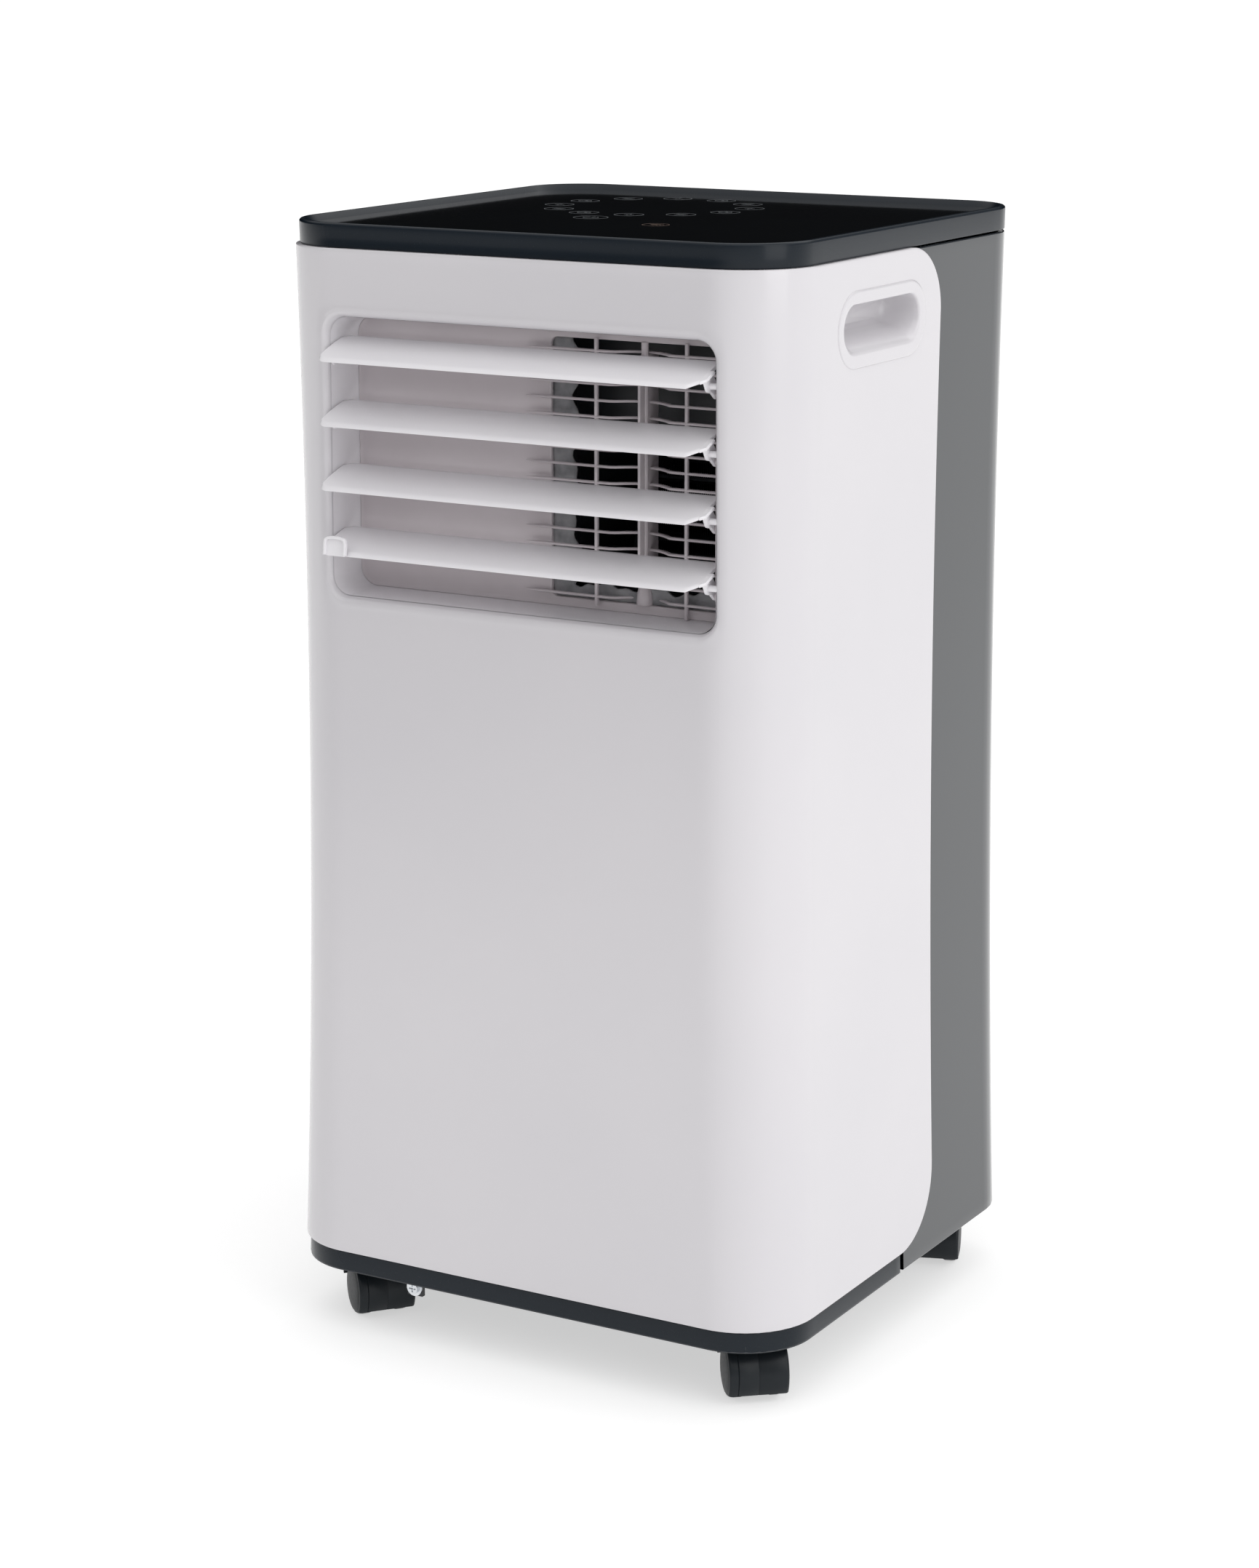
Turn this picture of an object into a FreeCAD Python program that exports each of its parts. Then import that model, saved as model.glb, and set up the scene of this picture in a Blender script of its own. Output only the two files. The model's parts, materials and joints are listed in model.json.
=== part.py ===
"""Portable air conditioner: every separate piece as an object of one parametric document.

Millimetres, +Z up, the front faces -Y and the right side +X. The origin is on the floor under
the middle of the cabinet. All sizes come from the sheet "Dims".
"""
import FreeCAD, Part
import math
import os
from types import SimpleNamespace

import Sketcher
from FreeCAD import Placement, Rotation, Vector

DIMENSIONS = (
    # cabinet
    ("height", 703, "floor to the rim of the lid"),
    ("top_width", 352, "width at the rim"),
    ("bottom_width", 360, "width at the bottom of the base band"),
    ("depth", 346, "front of the panel to the back of the housing"),
    ("waist", 4.9, "how far each side is pulled in at mid height"),
    ("front_waist", 2.8, "how far the front is pulled in at mid height"),
    ("front_radius", 48, "vertical corner radius at the front"),
    ("back_radius", 40, "vertical corner radius at the back"),
    ("base_bottom", 39.6, "bottom of the base band"),
    ("panel_base", 53, "bottom edge of the front panel"),
    ("panel_top", 688, "top edge of the front panel"),
    ("panel_edge", 45, "where the panel ends on each side, behind the middle"),
    ("panel_top_radius", 42, "panel corner beside the lid"),
    ("panel_bottom_radius", 48, "panel corner beside the base"),
    ("panel_wall", 2.4, "panel thickness"),
    ("proud", 2.6, "how far the panel stands out from the housing"),
    ("wall", 2.5, "housing thickness"),
    ("seam", 1, "gap between the lid and the rear housing"),
    ("fit", 0.3, "clearance between shells"),
    # louvre
    ("louver_half_width", 133, "half of the outlet opening"),
    ("louver_bottom", 475.4, "bottom of the outlet opening"),
    ("louver_top", 646.5, "top of the outlet opening"),
    ("louver_radius", 12, "corner radius of the outlet opening"),
    ("lip", 5, "rounding of the outlet opening"),
    ("collar_width", 8, "width of the rim inside the panel"),
    ("collar_back", -157, "back of that rim"),
    ("wall_front", -138, "front of the wall behind the blades"),
    ("window_left", 5, "left side of the window in that wall"),
    ("window_right", 127, "right side of the window"),
    ("window_bottom", 482, "bottom of the window"),
    ("window_top", 640, "top of the window"),
    ("pivot_y", -165.1, "blade pivots, from front to back"),
    ("pivot_top", 620.5, "height of the top blade's pivot"),
    ("blade_pitch", 39.2, "distance between blades"),
    ("blade_tilt", 19.8, "tilt of the open blades"),
    ("blade_front", 18, "pivot to the front edge along the blade"),
    ("blade_back", 19, "pivot to the back edge along the blade"),
    ("blade_rise", 7.5, "blade above its pivot"),
    ("blade_thickness", 2, "blade thickness"),
    ("pin_radius", 2, "pivot and crank pins"),
    ("pin_clearance", 0.15, "radial clearance of those pins"),
    ("crank_radius", 10, "pivot to crank pin"),
    ("crank_angle", -30, "crank below the horizontal at rest"),
    ("vane_x", 69.5, "vertical vane, from the middle"),
    ("vane_y", -137, "vane pivot, from front to back"),
    # handle cups
    ("cup_middle_y", -36.5, "middle of the handle cup"),
    ("cup_middle_z", 646, "height of the handle cup"),
    ("cup_length", 117, "length of the handle cup"),
    ("cup_height", 45, "height of the handle cup"),
    ("cup_depth", 30, "depth of the handle cup"),
    ("cup_rim", 8, "rim of the handle cup"),
    # back
    ("filter_half_width", 112, "half width of the upper filter"),
    ("filter_low", 400, "bottom of the upper filter"),
    ("filter_high", 640, "top of the upper filter"),
    ("lower_left", -140, "left side of the lower filter"),
    ("lower_right", -14, "right side of the lower filter"),
    ("lower_low", 96, "bottom of the lower filter"),
    ("lower_high", 326, "top of the lower filter"),
    ("exhaust_x", 64, "exhaust port, from the middle"),
    ("exhaust_z", 250, "height of the exhaust port"),
    ("exhaust_bore", 62, "bore radius of the exhaust collar"),
    ("exhaust_outer", 65.5, "outer radius of the exhaust collar"),
    ("drain_x", 60, "drain ports, from the middle"),
    ("drain_low", 66, "height of the lower drain"),
    ("drain_high", 366, "height of the upper drain"),
    ("drain_bore", 6, "bore radius of the drains"),
    ("gland_x", 120, "cord gland, from the middle"),
    ("gland_z", 130, "height of the cord gland"),
    # floors
    ("pan_floor", 56, "top of the base plate"),
    ("pan_rim", 86, "rim of the base pan"),
    ("tray_floor", 352, "underside of the middle tray"),
    # blowers
    ("upper_blower_y", 20, "upper blower axis, from the middle"),
    ("upper_blower_z", 492, "height of the upper blower axis"),
    ("upper_wheel_radius", 78, "upper wheel"),
    ("lower_blower_y", 45, "lower blower axis, from the middle"),
    ("lower_blower_z", 216, "height of the lower blower axis"),
    ("lower_wheel_radius", 72, "lower wheel"),
    ("shaft_radius", 4, "fan shafts"),
    # compressor
    ("compressor_x", -92, "compressor, from the middle"),
    ("compressor_y", -82, "compressor, from the middle"),
    ("compressor_radius", 54, "compressor shell"),
    ("compressor_height", 190, "compressor shell"),
    ("pipe_radius", 4.5, "refrigerant pipes"),
    # casters
    ("caster_x", 137, "caster stems, from the middle"),
    ("caster_y", 125.4, "front caster stems, ahead of the middle"),
    ("caster_rear_y", 138, "rear caster stems, behind the middle"),
    ("caster_radius", 17, "caster wheels"),
    ("caster_width", 37, "caster, over both wheels"),
    ("caster_trail", 9, "stem to wheel axle"),
    ("stem_radius", 4, "caster stem"),
)

doc = FreeCAD.newDocument("PortableAirConditioner")
sheet = doc.addObject("Spreadsheet::Sheet", "Dims")


def text_of(number):
    return number.text if isinstance(number, Size) else f"({float(number)})"


class Size(float):
    """A number that also carries its formula on the sheet, so that one sum does both jobs."""

    def __new__(cls, value, text):
        size = super().__new__(cls, value)
        size.text = text
        return size

    def __add__(self, other):
        return Size(float(self) + float(other), f"({self.text} + {text_of(other)})")

    def __radd__(self, other):
        return Size(float(other) + float(self), f"({text_of(other)} + {self.text})")

    def __sub__(self, other):
        return Size(float(self) - float(other), f"({self.text} - {text_of(other)})")

    def __rsub__(self, other):
        return Size(float(other) - float(self), f"({text_of(other)} - {self.text})")

    def __mul__(self, other):
        return Size(float(self) * float(other), f"({self.text} * {text_of(other)})")

    __rmul__ = __mul__

    def __truediv__(self, other):
        return Size(float(self) / float(other), f"({self.text} / {text_of(other)})")

    def __neg__(self):
        return Size(-float(self), f"(0 - {self.text})")


for row, (alias, number, note) in enumerate(DIMENSIONS, start=1):
    sheet.set(f"A{row}", note)
    sheet.set(f"B{row}", str(number))
    sheet.setAlias(f"B{row}", alias)
doc.recompute()
d = SimpleNamespace(**{alias: Size(number, f"Dims.{alias}") for alias, number, _ in DIMENSIONS})

AXIS_TURN = {
    "x": Rotation(Vector(0, 1, 0), 90),
    "y": Rotation(Vector(1, 0, 0), -90),
    "z": Rotation(),
}
NODES = {}


# ---------------------------------------------------------------- helpers

def bind(item, path, number):
    """Set a property, and tie it to the sheet where the number comes from there."""
    if isinstance(number, Size):
        item.setExpression(path, number.text)
    elif "." in path:
        item.setExpression(path, str(float(number)))
    else:
        setattr(item, path, float(number))


def put(item, x, y, z, turn=Rotation()):
    """Place an object, each coordinate tied to the sheet."""
    item.Placement = Placement(Vector(x, y, z), turn)
    for axis, number in zip("xyz", (x, y, z)):
        bind(item, f"Placement.Base.{axis}", number)
    return item


def node(label, item):
    """Name a finished sub-part; its label is also its file's name."""
    item.Label = label
    NODES[label] = item
    return item


def block(x0, x1, y0, y1, z0, z1, name="Block"):
    """A box between two corners."""
    item = doc.addObject("Part::Box", name)
    bind(item, "Length", x1 - x0)
    bind(item, "Width", y1 - y0)
    bind(item, "Height", z1 - z0)
    return put(item, x0, y0, z0)


def rod(radius, length, x, y, z, axis="z", name="Rod"):
    """A cylinder that starts at a point and runs along +axis."""
    item = doc.addObject("Part::Cylinder", name)
    bind(item, "Radius", radius)
    bind(item, "Height", length)
    return put(item, x, y, z, AXIS_TURN[axis])


def fuse(*items, name="Fusion"):
    item = doc.addObject("Part::MultiFuse", name)
    item.Shapes = list(items)
    return item


def common(a, b, name="Common"):
    item = doc.addObject("Part::MultiCommon", name)
    item.Shapes = [a, b]
    return item


def cut(base, *tools, name="Cut"):
    item = doc.addObject("Part::Cut", name)
    item.Base = base
    item.Tool = tools[0] if len(tools) == 1 else fuse(*tools, name=f"{name}Tools")
    return item


def soften(base, radius, test, name="Softened"):
    """Round the edges of a finished shape that pass a test."""
    doc.recompute()
    item = doc.addObject("Part::Fillet", name)
    item.Base = base
    item.Edges = [
        (i, float(radius), float(radius))
        for i, edge in enumerate(base.Shape.Edges, start=1) if test(edge)
    ]
    return item


def group(*items, name="Group"):
    """Separate solids that share one node."""
    item = doc.addObject("Part::Compound", name)
    item.Links = list(items)
    return item


def arc_between(start, end, sagitta):
    """The arc from start to end; a positive sagitta bulges to the right of that direction.

    Returns the arc, which runs anticlockwise, with the positions of its start and end on it.
    """
    along = Vector(end[0] - start[0], end[1] - start[1], 0)
    right = Vector(along.y, -along.x, 0).normalize()
    bulge = abs(float(sagitta))
    side = math.copysign(1, sagitta)
    radius = (along.Length ** 2 / 4 + bulge ** 2) / (2 * bulge)
    middle = Vector((start[0] + end[0]) / 2, (start[1] + end[1]) / 2, 0)
    centre = middle - right * (side * (radius - bulge))
    angles = [math.atan2(p[1] - centre.y, p[0] - centre.x) for p in (start, end)]
    places = (1, 2)
    if side < 0:
        angles.reverse()
        places = (2, 1)
    if angles[1] < angles[0]:
        angles[1] += 2 * math.pi
    circle = Part.Circle(centre, Vector(0, 0, 1), radius)
    return Part.ArcOfCircle(circle, *angles), places


def arc_radius(start, end, sagitta):
    """The radius of that arc, as a formula on the sheet: (chord squared / 4 + s squared) / 2 s."""
    dx = end[0] - start[0]
    dy = end[1] - start[1]
    chord = dx * dx + dy * dy
    rise = sagitta if sagitta > 0 else -1 * sagitta
    return (chord / 4 + rise * rise) / (2 * rise)


def outline(sketch, corners, bulges=()):
    """A closed outline through corners; bulges maps an edge's number to its sagitta."""
    bulges = dict(bulges)
    count = len(corners)
    places = []
    for i, start in enumerate(corners):
        end = corners[(i + 1) % count]
        if i in bulges:
            edge, place = arc_between(start, end, bulges[i])
        else:
            edge, place = Part.LineSegment(Vector(*start, 0), Vector(*end, 0)), (1, 2)
        sketch.addGeometry(edge, False)
        places.append(place)
    base = sketch.GeometryCount - count
    for i in range(count):
        after = (i + 1) % count
        sketch.addConstraint(
            Sketcher.Constraint("Coincident", base + i, places[i][1], base + after, places[after][0])
        )
    for i, corner in enumerate(corners):
        for kind, number in zip(("DistanceX", "DistanceY"), corner):
            index = sketch.addConstraint(
                Sketcher.Constraint(kind, -1, 1, base + i, places[i][0], float(number))
            )
            if isinstance(number, Size):
                sketch.setExpression(f"Constraints[{index}]", number.text)
        if i in bulges:
            radius = arc_radius(corner, corners[(i + 1) % count], bulges[i])
            index = sketch.addConstraint(Sketcher.Constraint("Radius", base + i, float(radius)))
            if isinstance(radius, Size):
                sketch.setExpression(f"Constraints[{index}]", radius.text)


QUARTER = 1 - math.cos(math.pi / 4)


def rounded(sketch, x0, x1, y0, y1, radius):
    """A rectangle with quarter circles at its corners."""
    corners = (
        (x0 + radius, y0), (x1 - radius, y0), (x1, y0 + radius), (x1, y1 - radius),
        (x1 - radius, y1), (x0 + radius, y1), (x0, y1 - radius), (x0, y0 + radius),
    )
    outline(sketch, corners, {i: radius * QUARTER for i in (1, 3, 5, 7)})


def new_body(name):
    return doc.addObject("PartDesign::Body", name)


def sketch_on(body, plane, name, offset=0.0):
    """A sketch on one of the body's own origin planes, moved along that plane's normal."""
    item = body.newObject("Sketcher::SketchObject", name)
    support = next(f for f in body.Origin.OriginFeatures if f.Role == f"{plane}_Plane")
    item.AttachmentSupport = (support, "")
    item.MapMode = "FlatFace"
    item.AttachmentOffset = Placement(Vector(0, 0, offset), Rotation())
    if isinstance(offset, Size):
        item.setExpression("AttachmentOffset.Base.z", offset.text)
    return item


def pad(body, sketch, length, both=False, back=False):
    """Give a sketch thickness: along its normal, against it, or half to each side."""
    item = body.newObject("PartDesign::Pad", f"{sketch.Name}Pad")
    item.Profile = sketch
    bind(item, "Length", length)
    if both:
        item.SideType = "Symmetric"
    item.Reversed = back
    return item


def pocket_through(body, sketch):
    item = body.newObject("PartDesign::Pocket", f"{sketch.Name}Pocket")
    item.Profile = sketch
    item.Type = "ThroughAll"
    item.SideType = "Symmetric"
    return item


def round_edges(body, feature, radius, test):
    """Fillet the edges of the last feature that pass a test."""
    doc.recompute()
    chosen = [f"Edge{i}" for i, edge in enumerate(feature.Shape.Edges, start=1) if test(edge)]
    item = body.newObject("PartDesign::Fillet", f"{feature.Name}Round")
    item.Base = (feature, chosen)
    bind(item, "Radius", radius)
    return item


def prism(name, plane, length, draw, offset=0.0, both=True, back=False):
    """A body that is one padded sketch; draw(sketch) adds the outline."""
    body = new_body(name)
    sketch = sketch_on(body, plane, f"{name}Sketch", offset)
    draw(sketch)
    pad(body, sketch, length, both=both, back=back)
    return body


def pipe_shape(points, radius, bend):
    """A round bar along straight runs that are joined by tangent arcs."""
    corners = [Vector(*p) for p in points]
    edges = []
    here = corners[0]
    for before, corner, after in zip(corners, corners[1:], corners[2:]):
        to_corner = (corner - before).normalize()
        from_corner = (after - corner).normalize()
        turn = to_corner.getAngle(from_corner)
        reach = float(bend) * math.tan(turn / 2)
        start = corner - to_corner * reach
        end = corner + from_corner * reach
        inward = (from_corner - to_corner).normalize()
        middle = corner + inward * (float(bend) * (1 / math.cos(turn / 2) - 1))
        if here.distanceToPoint(start) > 0.01:
            edges.append(Part.LineSegment(here, start).toShape())
        edges.append(Part.Arc(start, middle, end).toShape())
        here = end
    edges.append(Part.LineSegment(here, corners[-1]).toShape())
    path = Part.Wire(edges)
    first = (corners[1] - corners[0]).normalize()
    profile = Part.Wire([Part.Circle(corners[0], first, float(radius)).toShape()])
    return path.makePipeShell([profile], True, False)


def pipes(name, routes, radius, bend):
    """A node of pipes; its shape is worked out from the sheet's sizes."""
    item = doc.addObject("Part::Feature", name)
    shapes = [pipe_shape(route, radius, bend) for route in routes]
    item.Shape = shapes[0] if len(shapes) == 1 else Part.makeCompound(shapes)
    return item


# ---------------------------------------------------------------- cabinet

def waisted_form(name, inset, back_inset):
    """The cabinet's closed form, drawn in by an inset: sides and front are shallow arcs."""
    body = new_body(name)
    low = d.base_bottom
    high = d.height
    bottom = d.bottom_width / 2 - inset
    top = d.top_width / 2 - inset
    front = d.depth / 2 - inset
    back = d.depth / 2 - back_inset
    face = sketch_on(body, "XZ", f"{name}Face", -1 * back)
    corners = ((-bottom, low), (bottom, low), (top, high), (-top, high))
    outline(face, corners, {1: -1 * d.waist, 3: -1 * d.waist})
    pad(body, face, front + back)
    side = sketch_on(body, "YZ", f"{name}Side")
    ahead = front + 5
    outline(side, ((-ahead, low), (-front, low), (-front, high), (-ahead, high)), {1: d.front_waist})
    hollow = pocket_through(body, side)
    upright = 10
    front_round = round_edges(
        body, hollow, d.front_radius - inset,
        lambda e: e.BoundBox.ZLength > upright and e.BoundBox.YMax < 0,
    )
    round_edges(
        body, front_round, d.back_radius - back_inset,
        lambda e: e.BoundBox.ZLength > upright and e.BoundBox.YMin > back - 1,
    )
    return body


def slab(z0, z1, y0=None, y1=None):
    """Everything between two heights, and between two depths if they are given."""
    reach = d.bottom_width
    return block(-reach, reach, -reach if y0 is None else y0, reach if y1 is None else y1, z0, z1)


def cup_outline(grow=0.0):
    """Draws the handle cup's stadium, larger by grow all round."""
    half_length = d.cup_length / 2 + grow
    half_height = d.cup_height / 2 + grow

    def draw(sketch):
        rounded(
            sketch, d.cup_middle_y - half_length, d.cup_middle_y + half_length,
            d.cup_middle_z - half_height, d.cup_middle_z + half_height, half_height - 0.5,
        )
    return draw


def opening(name, grow, y0, y1):
    """The rounded outlet opening, larger by grow all round, from y0 back to y1."""
    def draw(sketch):
        rounded(
            sketch, -d.louver_half_width - grow, d.louver_half_width + grow,
            d.louver_bottom - grow, d.louver_top + grow, d.louver_radius + grow,
        )
    return prism(name, "XZ", y1 - y0, draw, offset=-1 * y1, both=False)


def blade_height(index):
    return d.pivot_top - d.blade_pitch * index


def front_panel(outer, inner, cup_hole):
    def draw(sketch):
        ahead = -d.depth
        low, high, edge = d.panel_base, d.panel_top, d.panel_edge
        corners = (
            (ahead, low), (edge - d.panel_bottom_radius, low), (edge, low + d.panel_bottom_radius),
            (edge, high - d.panel_top_radius), (edge - d.panel_top_radius, high), (ahead, high),
        )
        bulges = {1: d.panel_bottom_radius * QUARTER, 3: d.panel_top_radius * QUARTER}
        outline(sketch, corners, bulges)
    side_view = prism("PanelSideView", "YZ", d.bottom_width * 2, draw)
    skin = cut(common(outer, side_view, "PanelBlock"), inner, name="PanelSkin")
    collar_front = -d.depth / 2 + d.front_waist
    collar = opening("PanelCollar", d.collar_width, collar_front, d.collar_back)
    through = opening("PanelOpening", 0.0, -d.depth, d.collar_back + 10)
    framed = common(fuse(skin, collar, name="PanelFramed"), outer, "PanelTrimmed")
    pins = [
        rod(d.pin_radius + d.pin_clearance, d.louver_half_width * 4,
            -d.louver_half_width * 2, d.pivot_y, blade_height(i), "x")
        for i in range(4)
    ]
    pin_zone = block(
        -d.louver_half_width - 7, d.louver_half_width + 7, -d.depth, 0.0, d.louver_bottom, d.louver_top
    )
    pin_holes = common(fuse(*pins, name="PinRods"), pin_zone, "PinHoles")
    opened = cut(framed, through, name="PanelOpened")
    lip = soften(opened, d.lip, is_front_opening_edge, "PanelLip")
    node("front_panel", cut(lip, pin_holes, cup_hole, name="PanelPierced"))


def is_front_opening_edge(edge):
    """An edge of the outlet opening that lies in the panel's front face."""
    box = edge.BoundBox
    margin = 1.0
    inside = (
        box.XMax < d.louver_half_width + margin and box.XMin > -d.louver_half_width - margin
        and box.ZMin > d.louver_bottom - margin and box.ZMax < d.louver_top + margin
    )
    return inside and box.YMax < -d.depth / 2 + d.front_waist + margin


def back_holes():
    """Everything that passes through the back of the rear housing."""
    deep = d.depth / 2
    yield block(-d.filter_half_width, d.filter_half_width, deep - 20, deep + 5, d.filter_low, d.filter_high)
    yield block(d.lower_left, d.lower_right, deep - 20, deep + 5, d.lower_low, d.lower_high)
    yield rod(d.exhaust_outer, 40.0, d.exhaust_x, deep - 20, d.exhaust_z, "y")
    for height in (d.drain_low, d.drain_high):
        yield rod(d.drain_bore + 4, 40.0, d.drain_x, deep - 20, height, "y")
    yield rod(9.0, 40.0, d.gland_x, deep - 20, d.gland_z, "y")
    for x, z in screw_places():
        yield rod(2.2, 40.0, x, deep - 20, z, "y")
        yield rod(4.3, 10.0, x, deep - 1.8, z, "y")


def screw_places():
    for z in (74.0, 362.0, 664.0):
        for x in (-124.0, 124.0):
            yield x, z


def rear_housing(outer, inner, cup_hole):
    shell = cut(outer, inner, name="HousingShell")
    low_part = slab(d.base_bottom, d.panel_base + 1, y0=6.0)
    high_part = slab(d.panel_base + 0.5, d.panel_top - d.seam, y0=-3.0)
    kept = common(shell, fuse(low_part, high_part, name="HousingReach"), "HousingKept")
    node("rear_housing", cut(kept, *back_holes(), cup_hole, name="HousingPierced"))


def top_lid(outer, inner, skirt_inner, tray_form):
    rim = common(outer, slab(d.panel_top, d.height), "LidRim")
    under = common(inner, slab(d.panel_top - 1, d.height - 9.5), "LidUnder")
    tray = common(tray_form, slab(d.height - 6, d.height + 1), "LidTray")
    skirt_ring = cut(inner, skirt_inner, name="SkirtRing")
    skirt = common(skirt_ring, slab(d.panel_top - 8, d.panel_top + 2), "LidSkirt")
    node("top_lid", fuse(cut(rim, under, tray, name="LidHollow"), skirt, name="LidWhole"))


def touch_panel(glass_form):
    node("touch_panel", common(glass_form, slab(d.height - 6, d.height - 3.5), "TouchGlass"))
    board_top = d.height - 9.5
    board = block(-70.0, 70.0, -95.0, 60.0, board_top - 1.6, board_top)
    chips = [block(x, x + 12, y, y + 12, board_top - 4, board_top - 1.6)
             for x in (-50.0, 0.0, 38.0) for y in (-70.0, 20.0)]
    node("display_board", fuse(board, *chips, name="DisplayBoard"))


def base_pan(band_form, tray_form, hollow_form):
    band = common(band_form, slab(d.base_bottom, d.panel_base - 0.4, y1=1.0), "BaseBand")
    tray = common(tray_form, slab(d.base_bottom, d.pan_rim), "BaseTray")
    above = common(hollow_form, slab(d.pan_floor, d.pan_rim + 1), "BaseAbove")
    below = common(hollow_form, slab(d.base_bottom - 1, d.pan_floor - 4), "BaseBelow")
    stems = [rod(11.0, 30.0, x, y, d.base_bottom - 5) for x, y, _ in caster_places()]
    drain = rod(d.drain_bore + 0.1, 40.0, d.drain_x, d.depth / 2 - 20, d.drain_low, "y")
    hollow = cut(fuse(band, tray, name="BaseSolid"), above, below, drain, *stems, name="BaseHollow")
    node("base_pan", hollow)
    sockets = [
        cut(rod(11.0, 24.0, x, y, d.base_bottom),
            rod(d.stem_radius + 0.05, 20.0, x, y, d.base_bottom - 1), name="Socket")
        for x, y, _ in caster_places()
    ]
    node("caster_sockets", group(*sockets, name="CasterSockets"))


def handle_cups(outer):
    """A dished insert in each side; the left one is the right one's mirror image."""
    side = d.bottom_width / 2
    bottom = side - d.cup_depth - 6

    def inner(sketch):
        half_length = d.cup_length / 2 - d.cup_rim
        half_height = d.cup_height / 2 - d.cup_rim
        rounded(
            sketch, d.cup_middle_y - half_length, d.cup_middle_y + half_length,
            d.cup_middle_z - half_height - 4, d.cup_middle_z + half_height, half_height - 0.5,
        )
    solid = prism("CupSolid", "YZ", d.cup_depth + 10, cup_outline(), offset=bottom, both=False)
    dish = prism("CupDish", "YZ", d.cup_depth + 10, inner, offset=bottom + 2.5, both=False)
    finger_hole = rod(2.5, 30.0, bottom - 5, d.cup_middle_y - 42, d.cup_middle_z + 4, "x")
    right = cut(common(solid, outer, "CupTrimmed"), dish, finger_hole, name="CupHollow")
    node("handle_cup_right", right)
    left = doc.addObject("Part::Mirroring", "CupLeft")
    left.Source = right
    left.Normal = Vector(1, 0, 0)
    node("handle_cup_left", left)


# ---------------------------------------------------------------- air outlet

def outlet_duct():
    """The white recess behind the blades, with the vane's two bearings."""
    back = d.wall_front + d.wall
    outer = opening("DuctOuter", d.wall, d.collar_back, back)
    inner = opening("DuctInner", 0.0, d.collar_back - 1, d.wall_front)
    window = block(d.window_left, d.window_right, d.wall_front - 1, back + 1, d.window_bottom, d.window_top)
    shell = cut(outer, inner, window, name="DuctShell")
    pads = [
        block(d.vane_x - 20, d.vane_x + 18, d.vane_y - 14, d.vane_y + 9, d.louver_bottom - 1, d.window_bottom),
        block(d.vane_x - 15, d.vane_x + 15, d.vane_y - 12, d.vane_y + 9, d.window_top, d.louver_top + 1),
    ]
    pin = rod(d.pin_radius + d.pin_clearance, d.height, d.vane_x, d.vane_y, 0.0)
    pinned = common(pin, slab(d.louver_bottom + 1, d.louver_top - 1), "VanePinHole")
    node("outlet_duct", cut(fuse(shell, *pads, name="DuctPadded"), pinned, name="DuctPierced"))


def outlet_grille():
    """Bars across the window; each row bows back around the vane."""
    depth, thickness, pitch, rows, inner = 2.0, 1.8, 9.8, 16, 17.0
    front = d.wall_front + 0.2
    reach = (inner ** 2 - (front - d.vane_y) * (front - d.vane_y))
    half = math.sqrt(reach) + 0.5
    body = new_body("GrilleBody")
    row = sketch_on(body, "XY", "GrilleRow", d.window_bottom + 4)
    left, right = d.vane_x - half, d.vane_x + half
    sagitta = d.vane_y - front + inner
    corners = (
        (d.window_left, front), (left, front), (right, front), (d.window_right, front),
        (d.window_right, front + depth), (right, front + depth), (left, front + depth),
        (d.window_left, front + depth),
    )
    outline(row, corners, {1: -1 * sagitta, 5: sagitta})
    bar = pad(body, row, thickness)
    stack = body.newObject("PartDesign::LinearPattern", "GrilleStack")
    stack.Originals = [bar]
    upward = next(f for f in body.Origin.OriginFeatures if f.Role == "Z_Axis")
    stack.Direction = (upward, [""])
    stack.Length = pitch * (rows - 1)
    stack.Occurrences = rows
    body.Tip = stack
    posts = [
        block(x - 2, x + 2, front, front + depth, d.window_bottom, d.window_top)
        for x in (d.vane_x - 30.5, d.vane_x + 30.5)
    ]
    node("outlet_grille", fuse(body, *posts, name="GrilleWhole"))


def duct_foam():
    """The foam frame that seals the blower's mouth against the back of the duct."""
    front = d.wall_front + d.wall
    ring = block(d.window_left - 9, d.window_right + 9, front, front + 8, d.window_bottom - 9, d.window_top + 9)
    mouth = block(d.window_left, d.window_right, front - 1, front + 9, d.window_bottom, d.window_top)
    pads = block(d.vane_x - 20.5, d.vane_x + 18.5, front - 1, front + 9, d.window_bottom - 10, d.window_top + 10)
    node("duct_foam", cut(ring, mouth, pads, name="FoamFrame"))


def crank_offset():
    """Crank pin, from the pivot, at rest: along Y and along Z."""
    angle = math.radians(d.crank_angle)
    return d.crank_radius * math.cos(angle), d.crank_radius * math.sin(angle)


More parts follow.
